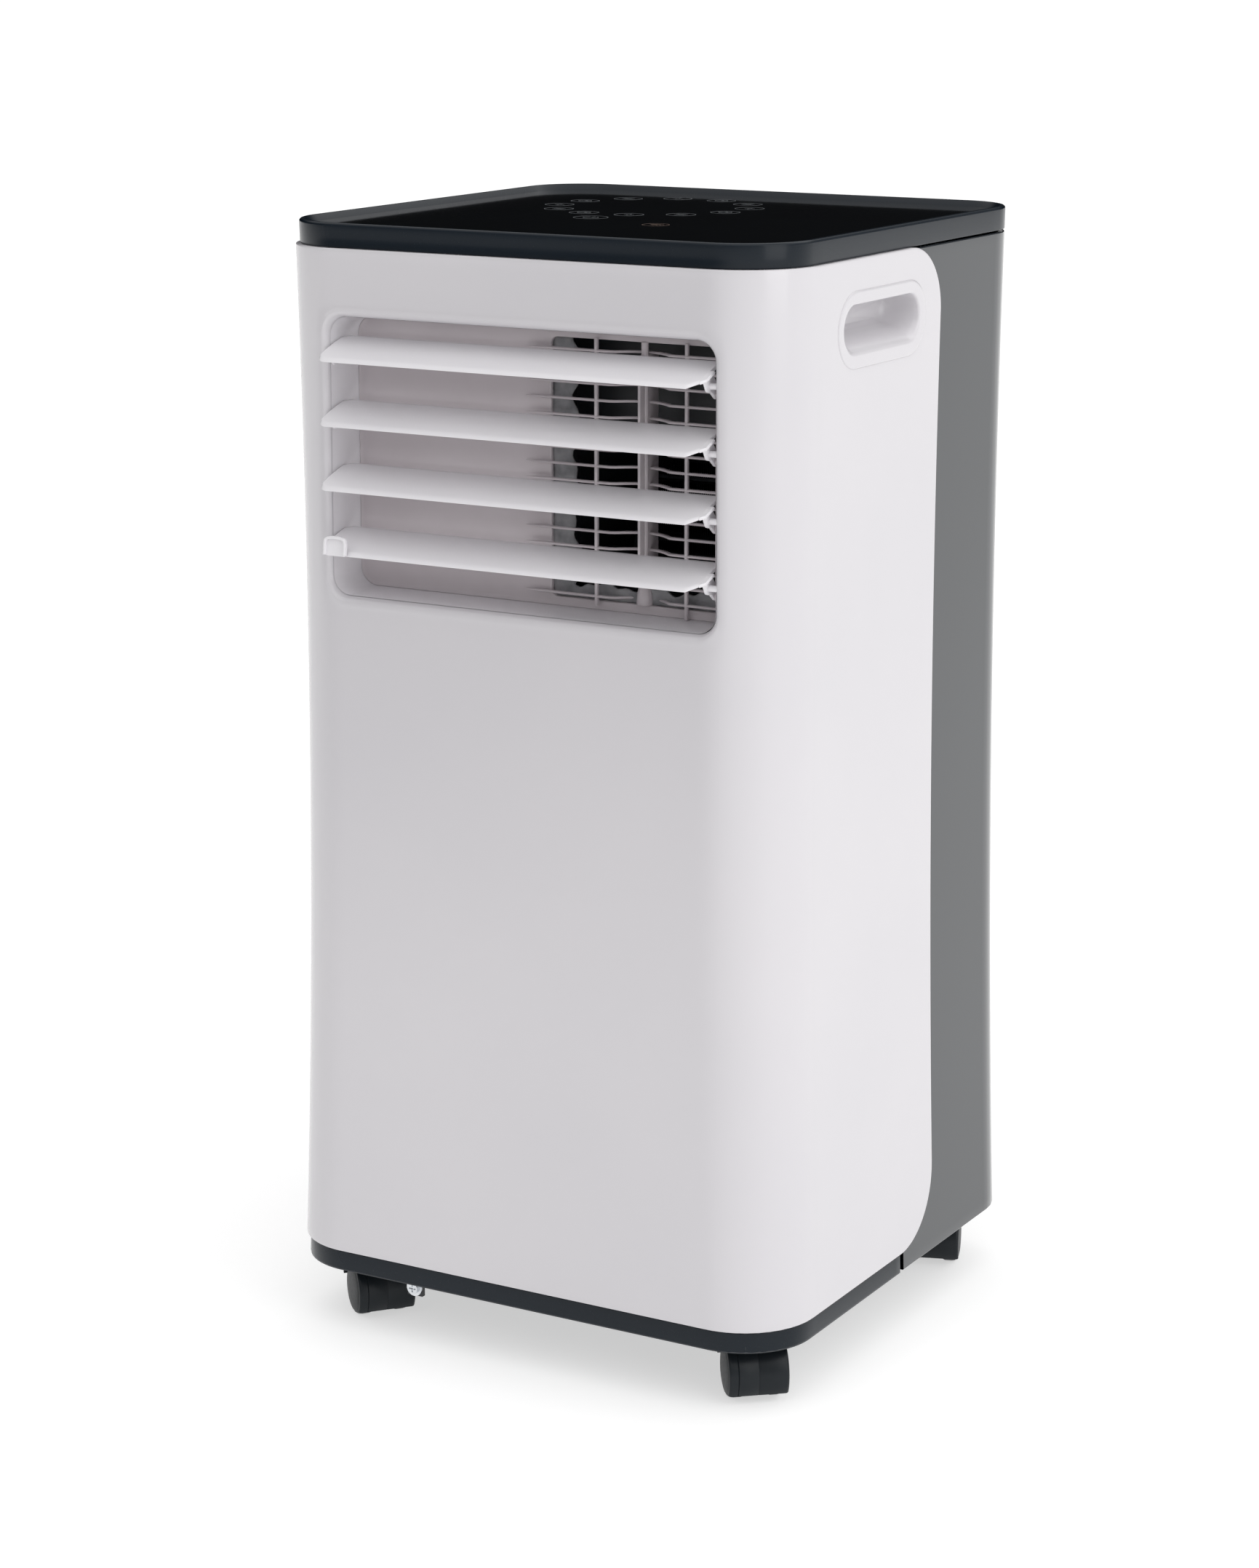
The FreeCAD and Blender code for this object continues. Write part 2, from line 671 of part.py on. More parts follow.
def louver_blade(index):
    """A blade: a slightly bowed sheet, its two end plates, its pins and its crank pin."""
    name = f"Blade{index + 1}"
    tilt = Rotation(Vector(1, 0, 0), float(d.blade_tilt))
    half = d.louver_half_width - 1.5
    rise, thick = d.blade_rise, d.blade_thickness
    camber = 1.2

    def section(sketch):
        corners = (
            (-d.blade_front, rise - thick), (d.blade_back, rise - thick),
            (d.blade_back, rise), (-d.blade_front, rise),
        )
        outline(sketch, corners, {0: -camber, 2: camber})

    body = new_body(name)
    profile = sketch_on(body, "YZ", f"{name}Section")
    section(profile)
    pad(body, profile, half * 2, both=True)
    trim = sketch_on(body, "XY", f"{name}Trim")
    notch = d.louver_half_width - 4.5
    front, far = -d.blade_front, d.blade_back + 5
    outline(trim, ((half - 9, front - 5), (half + 5, front - 5), (half + 5, far), (notch, far),
                   (notch, 3.0), (half, 3.0), (half, front + 9), (half - 9, front)))
    back, clip = d.blade_back, 4.0
    outline(trim, ((-half - 1, back - clip - 1), (clip - half + 1, back + 1), (-half - 1, back + 1)))
    pocket_through(body, trim)
    put(body, 0.0, d.pivot_y, blade_height(index), tilt)
    y, z = d.pivot_y, blade_height(index)
    pin_out = d.louver_half_width + 6
    left_plate = lever(f"{name}Left", -half, -half + 2, y, z, 0.0, 0.0)
    crank_y, crank_z = crank_offset()
    right_plate = lever(f"{name}Right", notch - 2, notch, y, z, crank_y, crank_z)
    pins = [
        rod(d.pin_radius, pin_out - half + 2, -pin_out, y, z, "x"),
        rod(d.pin_radius, pin_out - notch + 2, notch - 2, y, z, "x"),
        rod(d.pin_radius, 4.0, notch - 1.5, y + crank_y, z + crank_z, "x"),
    ]
    node(f"louver_blade_{index + 1}", fuse(body, left_plate, right_plate, *pins, name=f"{name}Whole"))


def lever(name, x0, x1, y, z, crank_y, crank_z):
    """The plate under a blade's end: it reaches up from the pivot, and back to any crank pin."""
    tilt = Rotation(Vector(1, 0, 0), float(d.blade_tilt))
    web = prism(
        f"{name}Web", "YZ", x1 - x0,
        lambda s: outline(s, ((-4.0, -1.0), (4.0, -1.0), (5.0, d.blade_rise - 0.2), (-5.0, d.blade_rise - 0.2))),
        offset=x0, both=False,
    )
    put(web, 0.0, y, z, tilt)
    pieces = [web, rod(4.0, x1 - x0, x0, y, z, "x")]
    if crank_y:
        pieces.append(rod(3.6, x1 - x0, x0, y + crank_y, z + crank_z, "x"))
        arm = prism(
            f"{name}Arm", "YZ", x1 - x0,
            lambda s: outline(s, ((0.0, -3.0), (d.crank_radius, -3.0), (d.crank_radius, 3.0), (0.0, 3.0))),
            offset=x0, both=False,
        )
        pieces.append(put(arm, 0.0, y, z, Rotation(Vector(1, 0, 0), float(d.crank_angle))))
    return fuse(*pieces, name=name)


def louver_link():
    """The upright bar that ties the four crank pins together."""
    crank_y, crank_z = crank_offset()
    x0 = d.louver_half_width - 4.2
    y = d.pivot_y + crank_y
    low = blade_height(3) + crank_z
    high = blade_height(0) + crank_z
    bar = block(x0, x0 + 2, y - 2.6, y + 2.6, low - 4, high + 4)
    eyes = [rod(3.6, 2.0, x0, y, blade_height(i) + crank_z, "x") for i in range(4)]
    play = (d.pin_clearance, 0.35, 0.35, 0.35)
    holes = [
        rod(d.pin_radius + play[i], 4.0, x0 - 1, y, blade_height(i) + crank_z, "x") for i in range(4)
    ]
    node("louver_link", cut(fuse(bar, *eyes, name="LinkBar"), *holes, name="LinkPierced"))


def louver_tab():
    """The finger tab on the lowest blade's left end."""
    tilt = Rotation(Vector(1, 0, 0), float(d.blade_tilt))
    x0 = -d.louver_half_width + 7
    tab = prism(
        "TabBody", "XZ", 2.2,
        lambda s: rounded(s, x0, x0 + 14, d.blade_rise - 1, d.blade_rise + 11, 4.0),
        offset=d.blade_front - 3, both=False,
    )
    seat = prism("TabSeat", "XZ", 3.4, lambda s: rounded(
        s, x0 - 1.5, x0 + 15.5, d.blade_rise + 0.9, d.blade_rise + 2.9, 0.8), offset=d.blade_front - 4, both=False)
    for item in (tab, seat):
        put(item, 0.0, d.pivot_y, blade_height(3), tilt)
    blade = doc.getObject("Blade4")
    node("louver_tab", cut(fuse(tab, seat, name="TabWhole"), blade, name="TabFitted"))


def vertical_vane():
    x, y = d.vane_x, d.vane_y
    low, high = d.window_bottom + 0.4, d.window_top - 0.4
    blade = block(x - 1, x + 1, y - 7.5, y + 15.5, low + 10, high)
    foot = rod(5.0, 10.5, x, y, low)
    lever_rib = block(x - 1, x + 1, y - 7.5, y + 10, low, low + 10.2)
    pins = [rod(d.pin_radius, 5.0, x, y, low - 4.8), rod(d.pin_radius, 5.0, x, y, high - 0.2)]
    node("vertical_vane", fuse(blade, foot, lever_rib, *pins, name="VaneWhole"))


# ---------------------------------------------------------------- cooling

def coil(label, x0, x1, y0, y1, z0, z1, passes):
    """A finned block and the serpentine tube that runs through it."""
    tube = 3.6
    middle = (y0 + y1) / 2
    step = (z1 - z0) / passes
    heights = [z0 + step * (i + 0.5) for i in range(passes)]
    holes = [rod(tube + 0.2, x1 - x0 + 20, x0 - 10, middle, z, "x") for z in heights]
    node(f"{label}_fins", cut(block(x0, x1, y0, y1, z0, z1), *holes, name=f"{label}Fins"))
    out = 9.0
    route = []
    for i, z in enumerate(heights):
        ends = (x0 - out, x1 + out) if i % 2 == 0 else (x1 + out, x0 - out)
        route.extend((float(x), float(middle), float(z)) for x in ends)
    bend = float(step) / 2 - 0.6
    node(f"{label}_tubes", pipes(f"{label}Tubes", [route], tube, bend))


def scroll(label, x0, x1, y, z, radius, duct_y0, duct_y1, duct_z0, duct_z1, inlet):
    """A centrifugal blower's casing: a drum and a straight duct, hollow, open at the inlet."""
    skin = d.wall
    drum = rod(radius + 12, x1 - x0, x0, y, z, "x")
    duct = block(x0, x1, duct_y0, duct_y1, duct_z0, duct_z1)
    void = rod(radius + 12 - skin, x1 - x0 - skin * 2, x0 + skin, y, z, "x")
    mouth_y0 = duct_y0 - (5 if duct_y0 < y - radius else 0)
    mouth_y1 = duct_y1 + (5 if duct_y1 > y + radius else 0)
    passage = block(x0 + skin, x1 - skin, mouth_y0, mouth_y1, duct_z0 + skin, duct_z1 - skin)
    eye = rod(inlet, skin + 10, x0 - 5, y, z, "x")
    shaft = rod(d.shaft_radius + 0.6, skin + 10, x1 - skin - 5, y, z, "x")
    return cut(fuse(drum, duct, name=f"{label}Outer"), void, passage, eye, shaft, name=f"{label}Casing")


def blower_wheel(label, x0, x1, y, z, radius, shaft_end):
    """A squirrel-cage wheel: back disc, ring, blades between them, hub and shaft."""
    blades = 24
    disc = rod(radius, 2.5, x1 - 2.5, y, z, "x")
    ring = cut(rod(radius, 3.0, x0, y, z, "x"), rod(radius - 12, 5.0, x0 - 1, y, z, "x"), name=f"{label}Ring")
    hub = rod(12.0, 26.0, x1 - 26, y, z, "x")
    shaft = rod(d.shaft_radius, shaft_end - x1 + 20, x1 - 20, y, z, "x")
    vanes = []
    for i in range(blades):
        turn = Rotation(Vector(1, 0, 0), 360 * i / blades)
        vane = doc.addObject("Part::Box", f"{label}Vane")
        bind(vane, "Length", x1 - x0 - 2)
        vane.Width = 2.0
        vane.Height = 10.5
        lean = Rotation(Vector(1, 0, 0), 25)
        offset = turn.multVec(Vector(0, -1, float(radius) - 11))
        vane.Placement = Placement(Vector(0, 0, 0), turn.multiply(lean))
        bind(vane, "Placement.Base.x", x0 + 1)
        bind(vane, "Placement.Base.y", y + offset.y)
        bind(vane, "Placement.Base.z", z + offset.z)
        vanes.append(vane)
    cage = cut(fuse(*vanes, name=f"{label}Vanes"), cut(
        rod(radius * 2, x1 - x0 + 10, x0 - 5, y, z, "x"), rod(radius, x1 - x0 + 12, x0 - 6, y, z, "x"),
        name=f"{label}Outside"), name=f"{label}Cage")
    return fuse(disc, ring, hub, shaft, cage, name=f"{label}Wheel")


def fan_motor(name, x0, y, z, radius, length):
    can = rod(radius, length, x0, y, z, "x")
    bell = rod(radius * 0.55, 8.0, x0 + length - 0.5, y, z, "x")
    hole = rod(d.shaft_radius + 0.1, length - 4, x0 - 5, y, z, "x")
    feet = [block(x0, x0 + 3, y - radius - 10, y + radius + 10, z - 7, z + 7)]
    return cut(fuse(can, bell, *feet, name=f"{name}Solid"), hole, name=f"{name}Motor")


def blowers():
    y, z, r = d.upper_blower_y, d.upper_blower_z, d.upper_wheel_radius
    x0, x1 = d.window_left, d.window_right
    mouth = d.wall_front + d.wall + 8
    casing = scroll("Upper", x0, x1, y, z, r, mouth + 20, y, d.window_bottom + 18, z + r + 12, r - 16)
    box = block(x0 - d.wall, x1 + d.wall, mouth, mouth + 23, d.window_bottom - d.wall, d.window_top + d.wall)
    hollow = block(x0, x1, mouth - 1, mouth + 20.5, d.window_bottom, d.window_top)
    throat = block(x0 + d.wall, x1 - d.wall, mouth, mouth + 30, d.window_bottom + 18 + d.wall, z + r + 12 - d.wall)
    node("upper_blower_housing", cut(fuse(casing, box, name="UpperMouth"), hollow, throat, name="UpperHollow"))
    node("upper_blower_wheel", blower_wheel("UpperWheel", x0 + 12, x1 - 12, y, z, r, x1 + 22))
    node("upper_fan_motor", fan_motor("Upper", x1 + 0.0, y, z, 34.0, 32.0))
    y, z, r = d.lower_blower_y, d.lower_blower_z, d.lower_wheel_radius
    x0, x1 = d.exhaust_x - 40, d.exhaust_x + 48
    node("lower_blower_housing", scroll(
        "Lower", x0, x1, y, z, r, y, d.depth / 2 - 14, z + 2, z + r + 12, r - 16))
    node("lower_blower_wheel", blower_wheel("LowerWheel", x0 + 10, x1 - 10, y, z, r, x1 + 22))
    node("lower_fan_motor", fan_motor("Lower", x1 + 0.0, y, z, 34.0, 32.0))


def middle_tray(tray_form, hollow_form):
    """The condensate tray between the two compartments."""
    low, high = d.tray_floor, d.tray_floor + 26
    solid = common(tray_form, slab(low, high), "TraySolid")
    above = common(hollow_form, slab(low + 3, high + 1), "TrayAbove")
    passage = block(40.0, 90.0, -150.0, -90.0, low - 1, high)
    hole = rod(6.0, 10.0, -100.0, 60.0, low - 3)
    pipe_hole = block(-165.0, -140.0, 60.0, 116.0, low - 1, high)
    drain = rod(d.drain_bore + 0.1, 40.0, d.drain_x, d.depth / 2 - 20, d.drain_high, "y")
    node("middle_tray", cut(solid, above, passage, hole, pipe_hole, drain, name="TrayHollow"))


def compressor():
    x, y, r = d.compressor_x, d.compressor_y, d.compressor_radius
    low = d.pan_floor + 24
    top = low + d.compressor_height
    can = rod(r, d.compressor_height - 4, x, y, low + 1)
    keg = soften(can, 20, lambda e: e.BoundBox.ZLength < 1, "Keg")
    terminal = rod(16.0, 14.0, x, y, top - 12)
    foot = block(x - r - 8, x + r + 8, y - 18, y + 18, low - 1, low + 3)
    foot_two = block(x - 18, x + 18, y - r - 8, y + r + 8, low - 1, low + 3)
    feet = [(x - r - 1, y), (x + r + 1, y), (x, y - r - 1), (x, y + r + 1)]
    holes = [rod(4.0, 10.0, fx, fy, low - 4) for fx, fy in feet]
    shell = cut(fuse(keg, terminal, foot, foot_two, name="KegSolid"), *holes, name="KegDrilled")
    node("compressor", shell)
    grommets = [
        fuse(rod(9.0, low - 1 - d.pan_floor, fx, fy, d.pan_floor), rod(3.6, 12.0, fx, fy, low - 2),
             name="Grommet")
        for fx, fy in feet
    ]
    node("compressor_feet", group(*grommets, name="Grommets"))
    bottle = rod(20.0, 110.0, x + r + 26, y - 10, low + 40)
    neck = rod(6.0, 20.0, x + r + 26, y - 10, low + 149)
    strap = block(x + r - 3, x + r + 8, y - 16, y - 4, low + 80, low + 96)
    node("compressor_accumulator", cut(
        fuse(bottle, neck, strap, name="Bottle"), doc.getObject("KegDrilled"), name="BottleFitted"))


def refrigerant_lines():
    x, y, r = float(d.compressor_x), float(d.compressor_y), float(d.compressor_radius)
    low = float(d.pan_floor) + 24
    top = low + float(d.compressor_height)
    bottle_x, bottle_y, bottle_top = x + r + 26, y - 10, low + 169
    radius = float(d.pipe_radius)
    suction = [
        (bottle_x, bottle_y, bottle_top), (bottle_x, bottle_y, bottle_top + 32),
        (bottle_x, 60.0, bottle_top + 32), (-152.0, 60.0, bottle_top + 32), (-152.0, 84.0, bottle_top + 32),
        (-152.0, 84.0, 392.0),
    ]
    discharge = [
        (x - 30, y, top - 3), (x - 30, y, top + 22), (x - 30, 30.0, top + 22), (-152.0, 30.0, top + 22),
        (-152.0, 30.0, 170.0), (-152.0, 110.0, 170.0),
    ]
    node("refrigerant_pipes", pipes("Lines", [suction, discharge], radius, 11.0))
    turns, rise, side = 5, 6.0, 22.0
    coil_x, coil_y, coil_z = -20.0, -20.0, 300.0
    corners = [
        (coil_x + side * math.cos(math.pi * (0.25 + step / 2)),
         coil_y + side * math.sin(math.pi * (0.25 + step / 2)), coil_z + rise * step / 4)
        for step in range(turns * 4 + 1)
    ]
    node("capillary_tube", pipes("Capillary", [corners], 1.4, 13.0))


def sump():
    """The motor and wheel that splash condensate on the lower coil, and the float switch."""
    x, z = -70.0, 108.0
    can = rod(17.0, 36.0, x, 48.0, z, "y")
    tab = block(x - 24, x + 24, 80.0, 83.9, z - 30, z + 8)
    foot = block(x - 24, x + 24, 62.0, 83.9, d.pan_floor, z - 28)
    bore = rod(2.6, 60.0, x, 60.0, z, "y")
    node("splash_motor", cut(fuse(can, tab, foot, name="SplashSolid"), bore, name="SplashMotor"))
    disc = rod(40.0, 3.0, x, 98.0, z, "y")
    shaft = rod(2.5, 36.0, x, 62.5, z, "y")
    paddles = []
    for i in range(12):
        turn = Rotation(Vector(0, 1, 0), 30 * i)
        paddle = doc.addObject("Part::Box", "Paddle")
        paddle.Length, paddle.Width, paddle.Height = 1.6, 7.0, 16.0
        start = turn.multVec(Vector(-0.8, 0, 23))
        paddle.Placement = Placement(Vector(x + start.x, 92.0, z + start.z), turn)
        paddles.append(paddle)
    node("splash_wheel", fuse(disc, shaft, *paddles, name="SplashWheel"))
    fx, fy = 20.0, 80.0
    post = cut(block(fx - 14, fx + 14, fy - 14, fy + 14, d.pan_floor, d.pan_floor + 46),
               block(fx - 11.5, fx + 11.5, fy - 11.5, fy + 20, d.pan_floor + 2, d.pan_floor + 43),
               name="FloatCage")
    stem = rod(3.0, 44.0, fx, fy, d.pan_floor + 1)
    node("float_switch_body", fuse(post, stem, name="FloatSwitch"))
    ring = cut(rod(10.0, 16.0, fx, fy, d.pan_floor + 4), rod(3.4, 20.0, fx, fy, d.pan_floor + 2), name="FloatRing")
    node("float", ring)


def electrics():
    x0, x1, y0, y1, z0, z1 = -158.0, -30.0, -120.0, -52.0, 404.0, 618.0
    box = cut(block(x0, x1, y0, y1, z0, z1), block(x0 + 2, x1 - 2, y0 - 5, y1 - 2, z0 + 2, z1 - 2),
              name="BoxHollow")
    rails = [block(x, x + 6, y1 - 8, y1 - 1.5, z0 + 30, z1 - 30) for x in (x0 + 14, x1 - 20)]
    node("control_box", fuse(box, *rails, name="ControlBox"))
    board = block(x0 + 6, x1 - 6, y1 - 9.6, y1 - 8, z0 + 24, z1 - 24)
    relays = [block(x0 + 16 + 26 * i, x0 + 34 + 26 * i, y1 - 26, y1 - 9, z0 + 40, z0 + 64) for i in range(4)]
    transformer = block(x0 + 20, x0 + 62, y1 - 42, y1 - 9, z0 + 90, z0 + 128)
    chip = block(x0 + 74, x0 + 98, y1 - 12, y1 - 9, z0 + 96, z0 + 120)
    node("main_board", fuse(board, *relays, transformer, chip, name="MainBoard"))
    can = rod(16.0, 56.0, x1 - 26, y1 - 28, z1 - 66)
    tags = [rod(1.5, 6.0, x1 - 26 + o, y1 - 28, z1 - 10.5) for o in (-6, 6)]
    node("run_capacitor", fuse(can, *tags, name="Capacitor"))


def back_fittings():
    deep = d.depth / 2
    flange = deep - 2.5
    x, z = d.exhaust_x, d.exhaust_z
    sleeve = rod(d.exhaust_outer - 0.2, 13.5, x, flange - 11, z, "y")
    ring = rod(d.exhaust_outer + 5, 2.4, x, flange - 2.4, z, "y")
    bore = rod(d.exhaust_bore, 40.0, x, flange - 20, z, "y")
    node("exhaust_collar", cut(fuse(sleeve, ring, name="CollarSolid"), bore, name="CollarBored"))
    for label, height in (("drain_plug_lower", d.drain_low), ("drain_cap_upper", d.drain_high)):
        stem = rod(d.drain_bore - 0.2, 14.5, d.drain_x, deep - 16, height, "y")
        knob = rod(d.drain_bore + 3.4, 2.4, d.drain_x, deep - 2.4, height, "y")
        node(label, fuse(stem, knob, name=label.title().replace("_", "")))
    body = cut(rod(8.8, 14.0, d.gland_x, deep - 14, d.gland_z, "y"),
               rod(4.2, 30.0, d.gland_x, deep - 20, d.gland_z, "y"), name="GlandBored")
    nut = cut(rod(12.0, 4.0, d.gland_x, deep - 7, d.gland_z, "y"),
              rod(8.7, 6.0, d.gland_x, deep - 8, d.gland_z, "y"), name="GlandNut")
    node("cord_gland", fuse(body, nut, name="Gland"))
    screws = [
        fuse(rod(4.0, 1.7, x, deep - 1.8, z, "y"), rod(1.9, 12.0, x, deep - 13.5, z, "y"), name="Screw")
        for x, z in screw_places()
    ]
    node("housing_screws", group(*screws, name="Screws"))


def air_filter(label, x0, x1, z0, z1):
    """A framed filter with slanted slats, which lifts straight out of the back."""
    gap, frame, deep = 0.5, 9.0, d.depth / 2
    x0, x1, z0, z1 = x0 + gap, x1 - gap, z0 + gap, z1 - gap
    outer = block(x0, x1, deep - 8, deep - 0.2, z0, z1)
    window = block(x0 + frame, x1 - frame, deep - 12, deep + 5, z0 + frame, z1 - frame)
    count = int((z1 - z0 - frame * 2) // 12)
    step = (z1 - z0 - frame * 2) / count
    slats = [
        block(x0 + frame - 1, x1 - frame + 1, deep - 5, deep - 1.2, z0 + frame + step * (i + 0.35),
              z0 + frame + step * (i + 0.35) + 2.2)
        for i in range(count)
    ]
    mesh = block(x0 + frame - 1, x1 - frame + 1, deep - 7.4, deep - 6.6, z0 + frame - 1, z1 - frame + 1)
    node(label, fuse(cut(outer, window, name=f"{label}Frame"), mesh, *slats, name=f"{label}Whole"))


# ---------------------------------------------------------------- casters

def caster_places():
    """Each stem's place and which way its caster points, in degrees from straight ahead."""
    yield d.caster_x, -d.caster_y, 40.0
    yield -d.caster_x, -d.caster_y, 50.0
    yield d.caster_x, d.caster_rear_y, 20.0
    yield -d.caster_x, d.caster_rear_y, 30.0


def caster(name, x, y, heading):
    """A twin-wheel caster: hood with stem, and the two wheels on their axle."""
    r, half = d.caster_radius, d.caster_width / 2
    trail = -d.caster_trail
    shell, web = 2.6, 6.5
    hood = cut(
        rod(r + 0.7 + shell, half * 2, -half, trail, r, "x"),
        rod(r + 0.7, half * 2 + 2, -half - 1, trail, r, "x"),
        block(-half - 1, half + 1, trail - r - 5, trail + r + 5, -10.0, 6.0),
        block(-half - 1, half + 1, trail, trail + r + 5, -10.0, r + 4),
        name=f"{name}Fender",
    )
    spine = common(rod(r + 1.0, web * 2, -web, trail, r, "x"),
                   block(-web, web, trail - r - 2, trail + r + 2, 6.0, r * 2 + 3), f"{name}Spine")
    neck = rod(9.0, d.base_bottom - r * 2 - 0.6, 0.0, 0.0, r * 2 + 0.2)
    stem = rod(d.stem_radius, 22.0, 0.0, 0.0, d.base_bottom - 4)
    eye = rod(2.1, half * 2 + 2, -half - 1, trail, r, "x")
    whole = cut(fuse(hood, spine, neck, stem, name=f"{name}Solid"), eye, name=f"{name}Hood")
    wheels = []
    for side in (-1, 1):
        inner = web + 0.7
        start = inner if side > 0 else -half
        tyre = rod(r, half - inner, start, trail, r, "x")
        wheels.append(tyre)
    axle = rod(2.0, half * 2 - 4, -half + 2, trail, r, "x")
    pair = fuse(*wheels, axle, name=f"{name}Wheels")
    turn = Rotation(Vector(0, 0, 1), heading)
    tag = name[-2:].lower()
    for label, item in ((f"caster_hood_{tag}", whole), (f"caster_wheels_{tag}", pair)):
        node(label, put(item, x, y, 0.0, turn))


def base_screw():
    x, y, z = -85.0, -158.0, 33.0
    washer = rod(5.5, 1.0, x, y - 1, z, "y")
    head = rod(3.6, 2.2, x, y - 3.2, z, "y")
    shank = rod(2.0, 14.0, x, y - 1.5, z, "y")
    slot = [block(x - 2.4, x + 2.4, y - 4, y - 2.2, z - 0.5, z + 0.5),
            block(x - 0.5, x + 0.5, y - 4, y - 2.2, z - 2.4, z + 2.4)]
    hanger = block(x - 5.5, x + 5.5, y, y + 3, z - 5.5, d.pan_floor - 4)
    node("base_screw", cut(fuse(washer, head, shank, name="ScrewSolid"), *slot, name="BaseScrew"))
    node("base_bracket", cut(hanger, rod(2.0, 10.0, x, y - 2, z, "y"), name="Hanger"))


def build():
    outer = waisted_form("PanelOuter", 0.0, 0.0)
    panel_inner = waisted_form("PanelInner", d.panel_wall, d.panel_wall)
    housing = waisted_form("HousingOuter", d.proud, 0.0)
    housing_inner = waisted_form("HousingInner", d.proud + d.wall, d.wall)
    fitted = waisted_form("FittedForm", d.proud + d.wall + d.fit, d.wall + d.fit)
    hollow = waisted_form("HollowForm", d.proud + d.wall * 2 + d.fit, d.wall * 2 + d.fit)
    dished = waisted_form("DishedForm", d.proud + 5, 5.0)
    glass = waisted_form("GlassForm", d.proud + 6, 6.0)
    cup_hole = prism("CupHole", "YZ", d.bottom_width * 2, cup_outline(0.25))
    side_gap = block(-d.bottom_width / 2 + 60, d.bottom_width / 2 - 60, -d.depth, d.depth, 0.0, d.height)
    cup_holes = cut(cup_hole, side_gap, name="CupHolePair")
    front_panel(outer, panel_inner, cup_holes)
    rear_housing(housing, housing_inner, cup_holes)
    top_lid(housing, fitted, hollow, dished)
    touch_panel(glass)
    base_pan(housing, fitted, hollow)
    handle_cups(outer)
    outlet_duct()
    outlet_grille()
    duct_foam()
    for index in range(4):
        louver_blade(index)
    louver_link()
    louver_tab()
    vertical_vane()
    half = d.filter_half_width
    coil("evaporator", -half - 18, half + 18, 122.0, 150.0, 392.0, 632.0, 10)
    coil("condenser", -130.0, 6.0, 122.0, 150.0, 92.0, 330.0, 10)
    blowers()
    middle_tray(fitted, hollow)
    compressor()
    refrigerant_lines()
    sump()
    electrics()
    back_fittings()
    air_filter("upper_filter", -half, half, d.filter_low, d.filter_high)
    air_filter("lower_filter", d.lower_left, d.lower_right, d.lower_low, d.lower_high)
    for name, (x, y, heading) in zip(("CasterFR", "CasterFL", "CasterRR", "CasterRL"), caster_places()):
        caster(name, x, y, heading)
    base_screw()


def check_and_write():
    doc.recompute()
    for item in doc.Objects:
        bad = {"Invalid", "Error"} & set(item.State)
        if bad:
            raise RuntimeError(f"{item.Label}: {', '.join(sorted(bad))}")
    os.makedirs("parts", exist_ok=True)
    for label, item in NODES.items():
        shape = item.Shape
        if shape.isNull() or not shape.isValid() or shape.Volume <= 0:
            raise RuntimeError(f"{label}: bad shape")
    for label, item in NODES.items():
        item.Shape.exportStep(f"parts/{label}.step")
        box = item.Shape.BoundBox
        print(f"{label:24s} solids {len(item.Shape.Solids)}  volume {item.Shape.Volume:10.0f}  "
              f"x {box.XMin:7.1f} {box.XMax:7.1f}  y {box.YMin:7.1f} {box.YMax:7.1f}  "
              f"z {box.ZMin:6.1f} {box.ZMax:6.1f}")
    print(len(NODES), "nodes")


build()
check_and_write()
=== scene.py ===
"""Looks of a portable air conditioner, built round its packed CAD assembly.

The script is laid out as an add-on and run as a script. Every operator in the panel builds one
piece, or one group of like pieces, on top of the CAD frame, and the last one builds the stage.
Lengths inside the builders are in millimetres and become metres where a mesh is made.
"""

import json
import math

import bpy
import numpy as np
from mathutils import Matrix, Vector


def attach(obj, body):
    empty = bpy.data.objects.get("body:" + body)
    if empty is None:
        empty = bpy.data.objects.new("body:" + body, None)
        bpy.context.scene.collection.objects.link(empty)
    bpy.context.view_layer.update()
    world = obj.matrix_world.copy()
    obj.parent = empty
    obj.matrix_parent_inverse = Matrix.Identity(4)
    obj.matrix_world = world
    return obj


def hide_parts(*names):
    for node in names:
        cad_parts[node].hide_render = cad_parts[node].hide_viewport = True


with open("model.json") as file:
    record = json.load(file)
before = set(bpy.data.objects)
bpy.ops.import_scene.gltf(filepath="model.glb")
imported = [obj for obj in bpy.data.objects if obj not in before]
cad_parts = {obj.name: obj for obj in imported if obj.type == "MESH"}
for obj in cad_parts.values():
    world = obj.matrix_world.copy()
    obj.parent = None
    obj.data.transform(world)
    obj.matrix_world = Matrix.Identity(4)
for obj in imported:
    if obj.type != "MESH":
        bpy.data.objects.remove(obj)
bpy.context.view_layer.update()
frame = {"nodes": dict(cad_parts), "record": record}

bl_info = {
    "name": "Portable air conditioner looks",
    "version": (1, 0, 0),
    "blender": (4, 5, 0),
    "location": "View3D > Sidebar > Air conditioner",
    "description": "Builds the visible surfaces, finishes and stage of a portable air conditioner",
    "category": "Object",
}

MM = 0.001
FRONT_STRAIGHT = 145.0
TURN_END = 190.0
SIDE_START = 194.0
FRONT_SIDE_Y = 118.0
REAR_SIDE_Y = 128.0
CUP_FRONT = -95.0
CUP_BACK = 22.0
CUP_HEIGHT = 646.0
PIVOT_Y = -165.1
TOP_PIVOT_Z = 620.5
CRANK_Y = 8.66
CRANK_Z = -5.0
VANE_X = 69.5
VANE_Y = -137.0
PRINT_Z = 699.54


# ---------------------------------------------------------------- settings

def length(label, text, value):
    """A length property, kept in metres."""
    return bpy.props.FloatProperty(
        name=label, description=text, default=value, subtype="DISTANCE", unit="LENGTH")


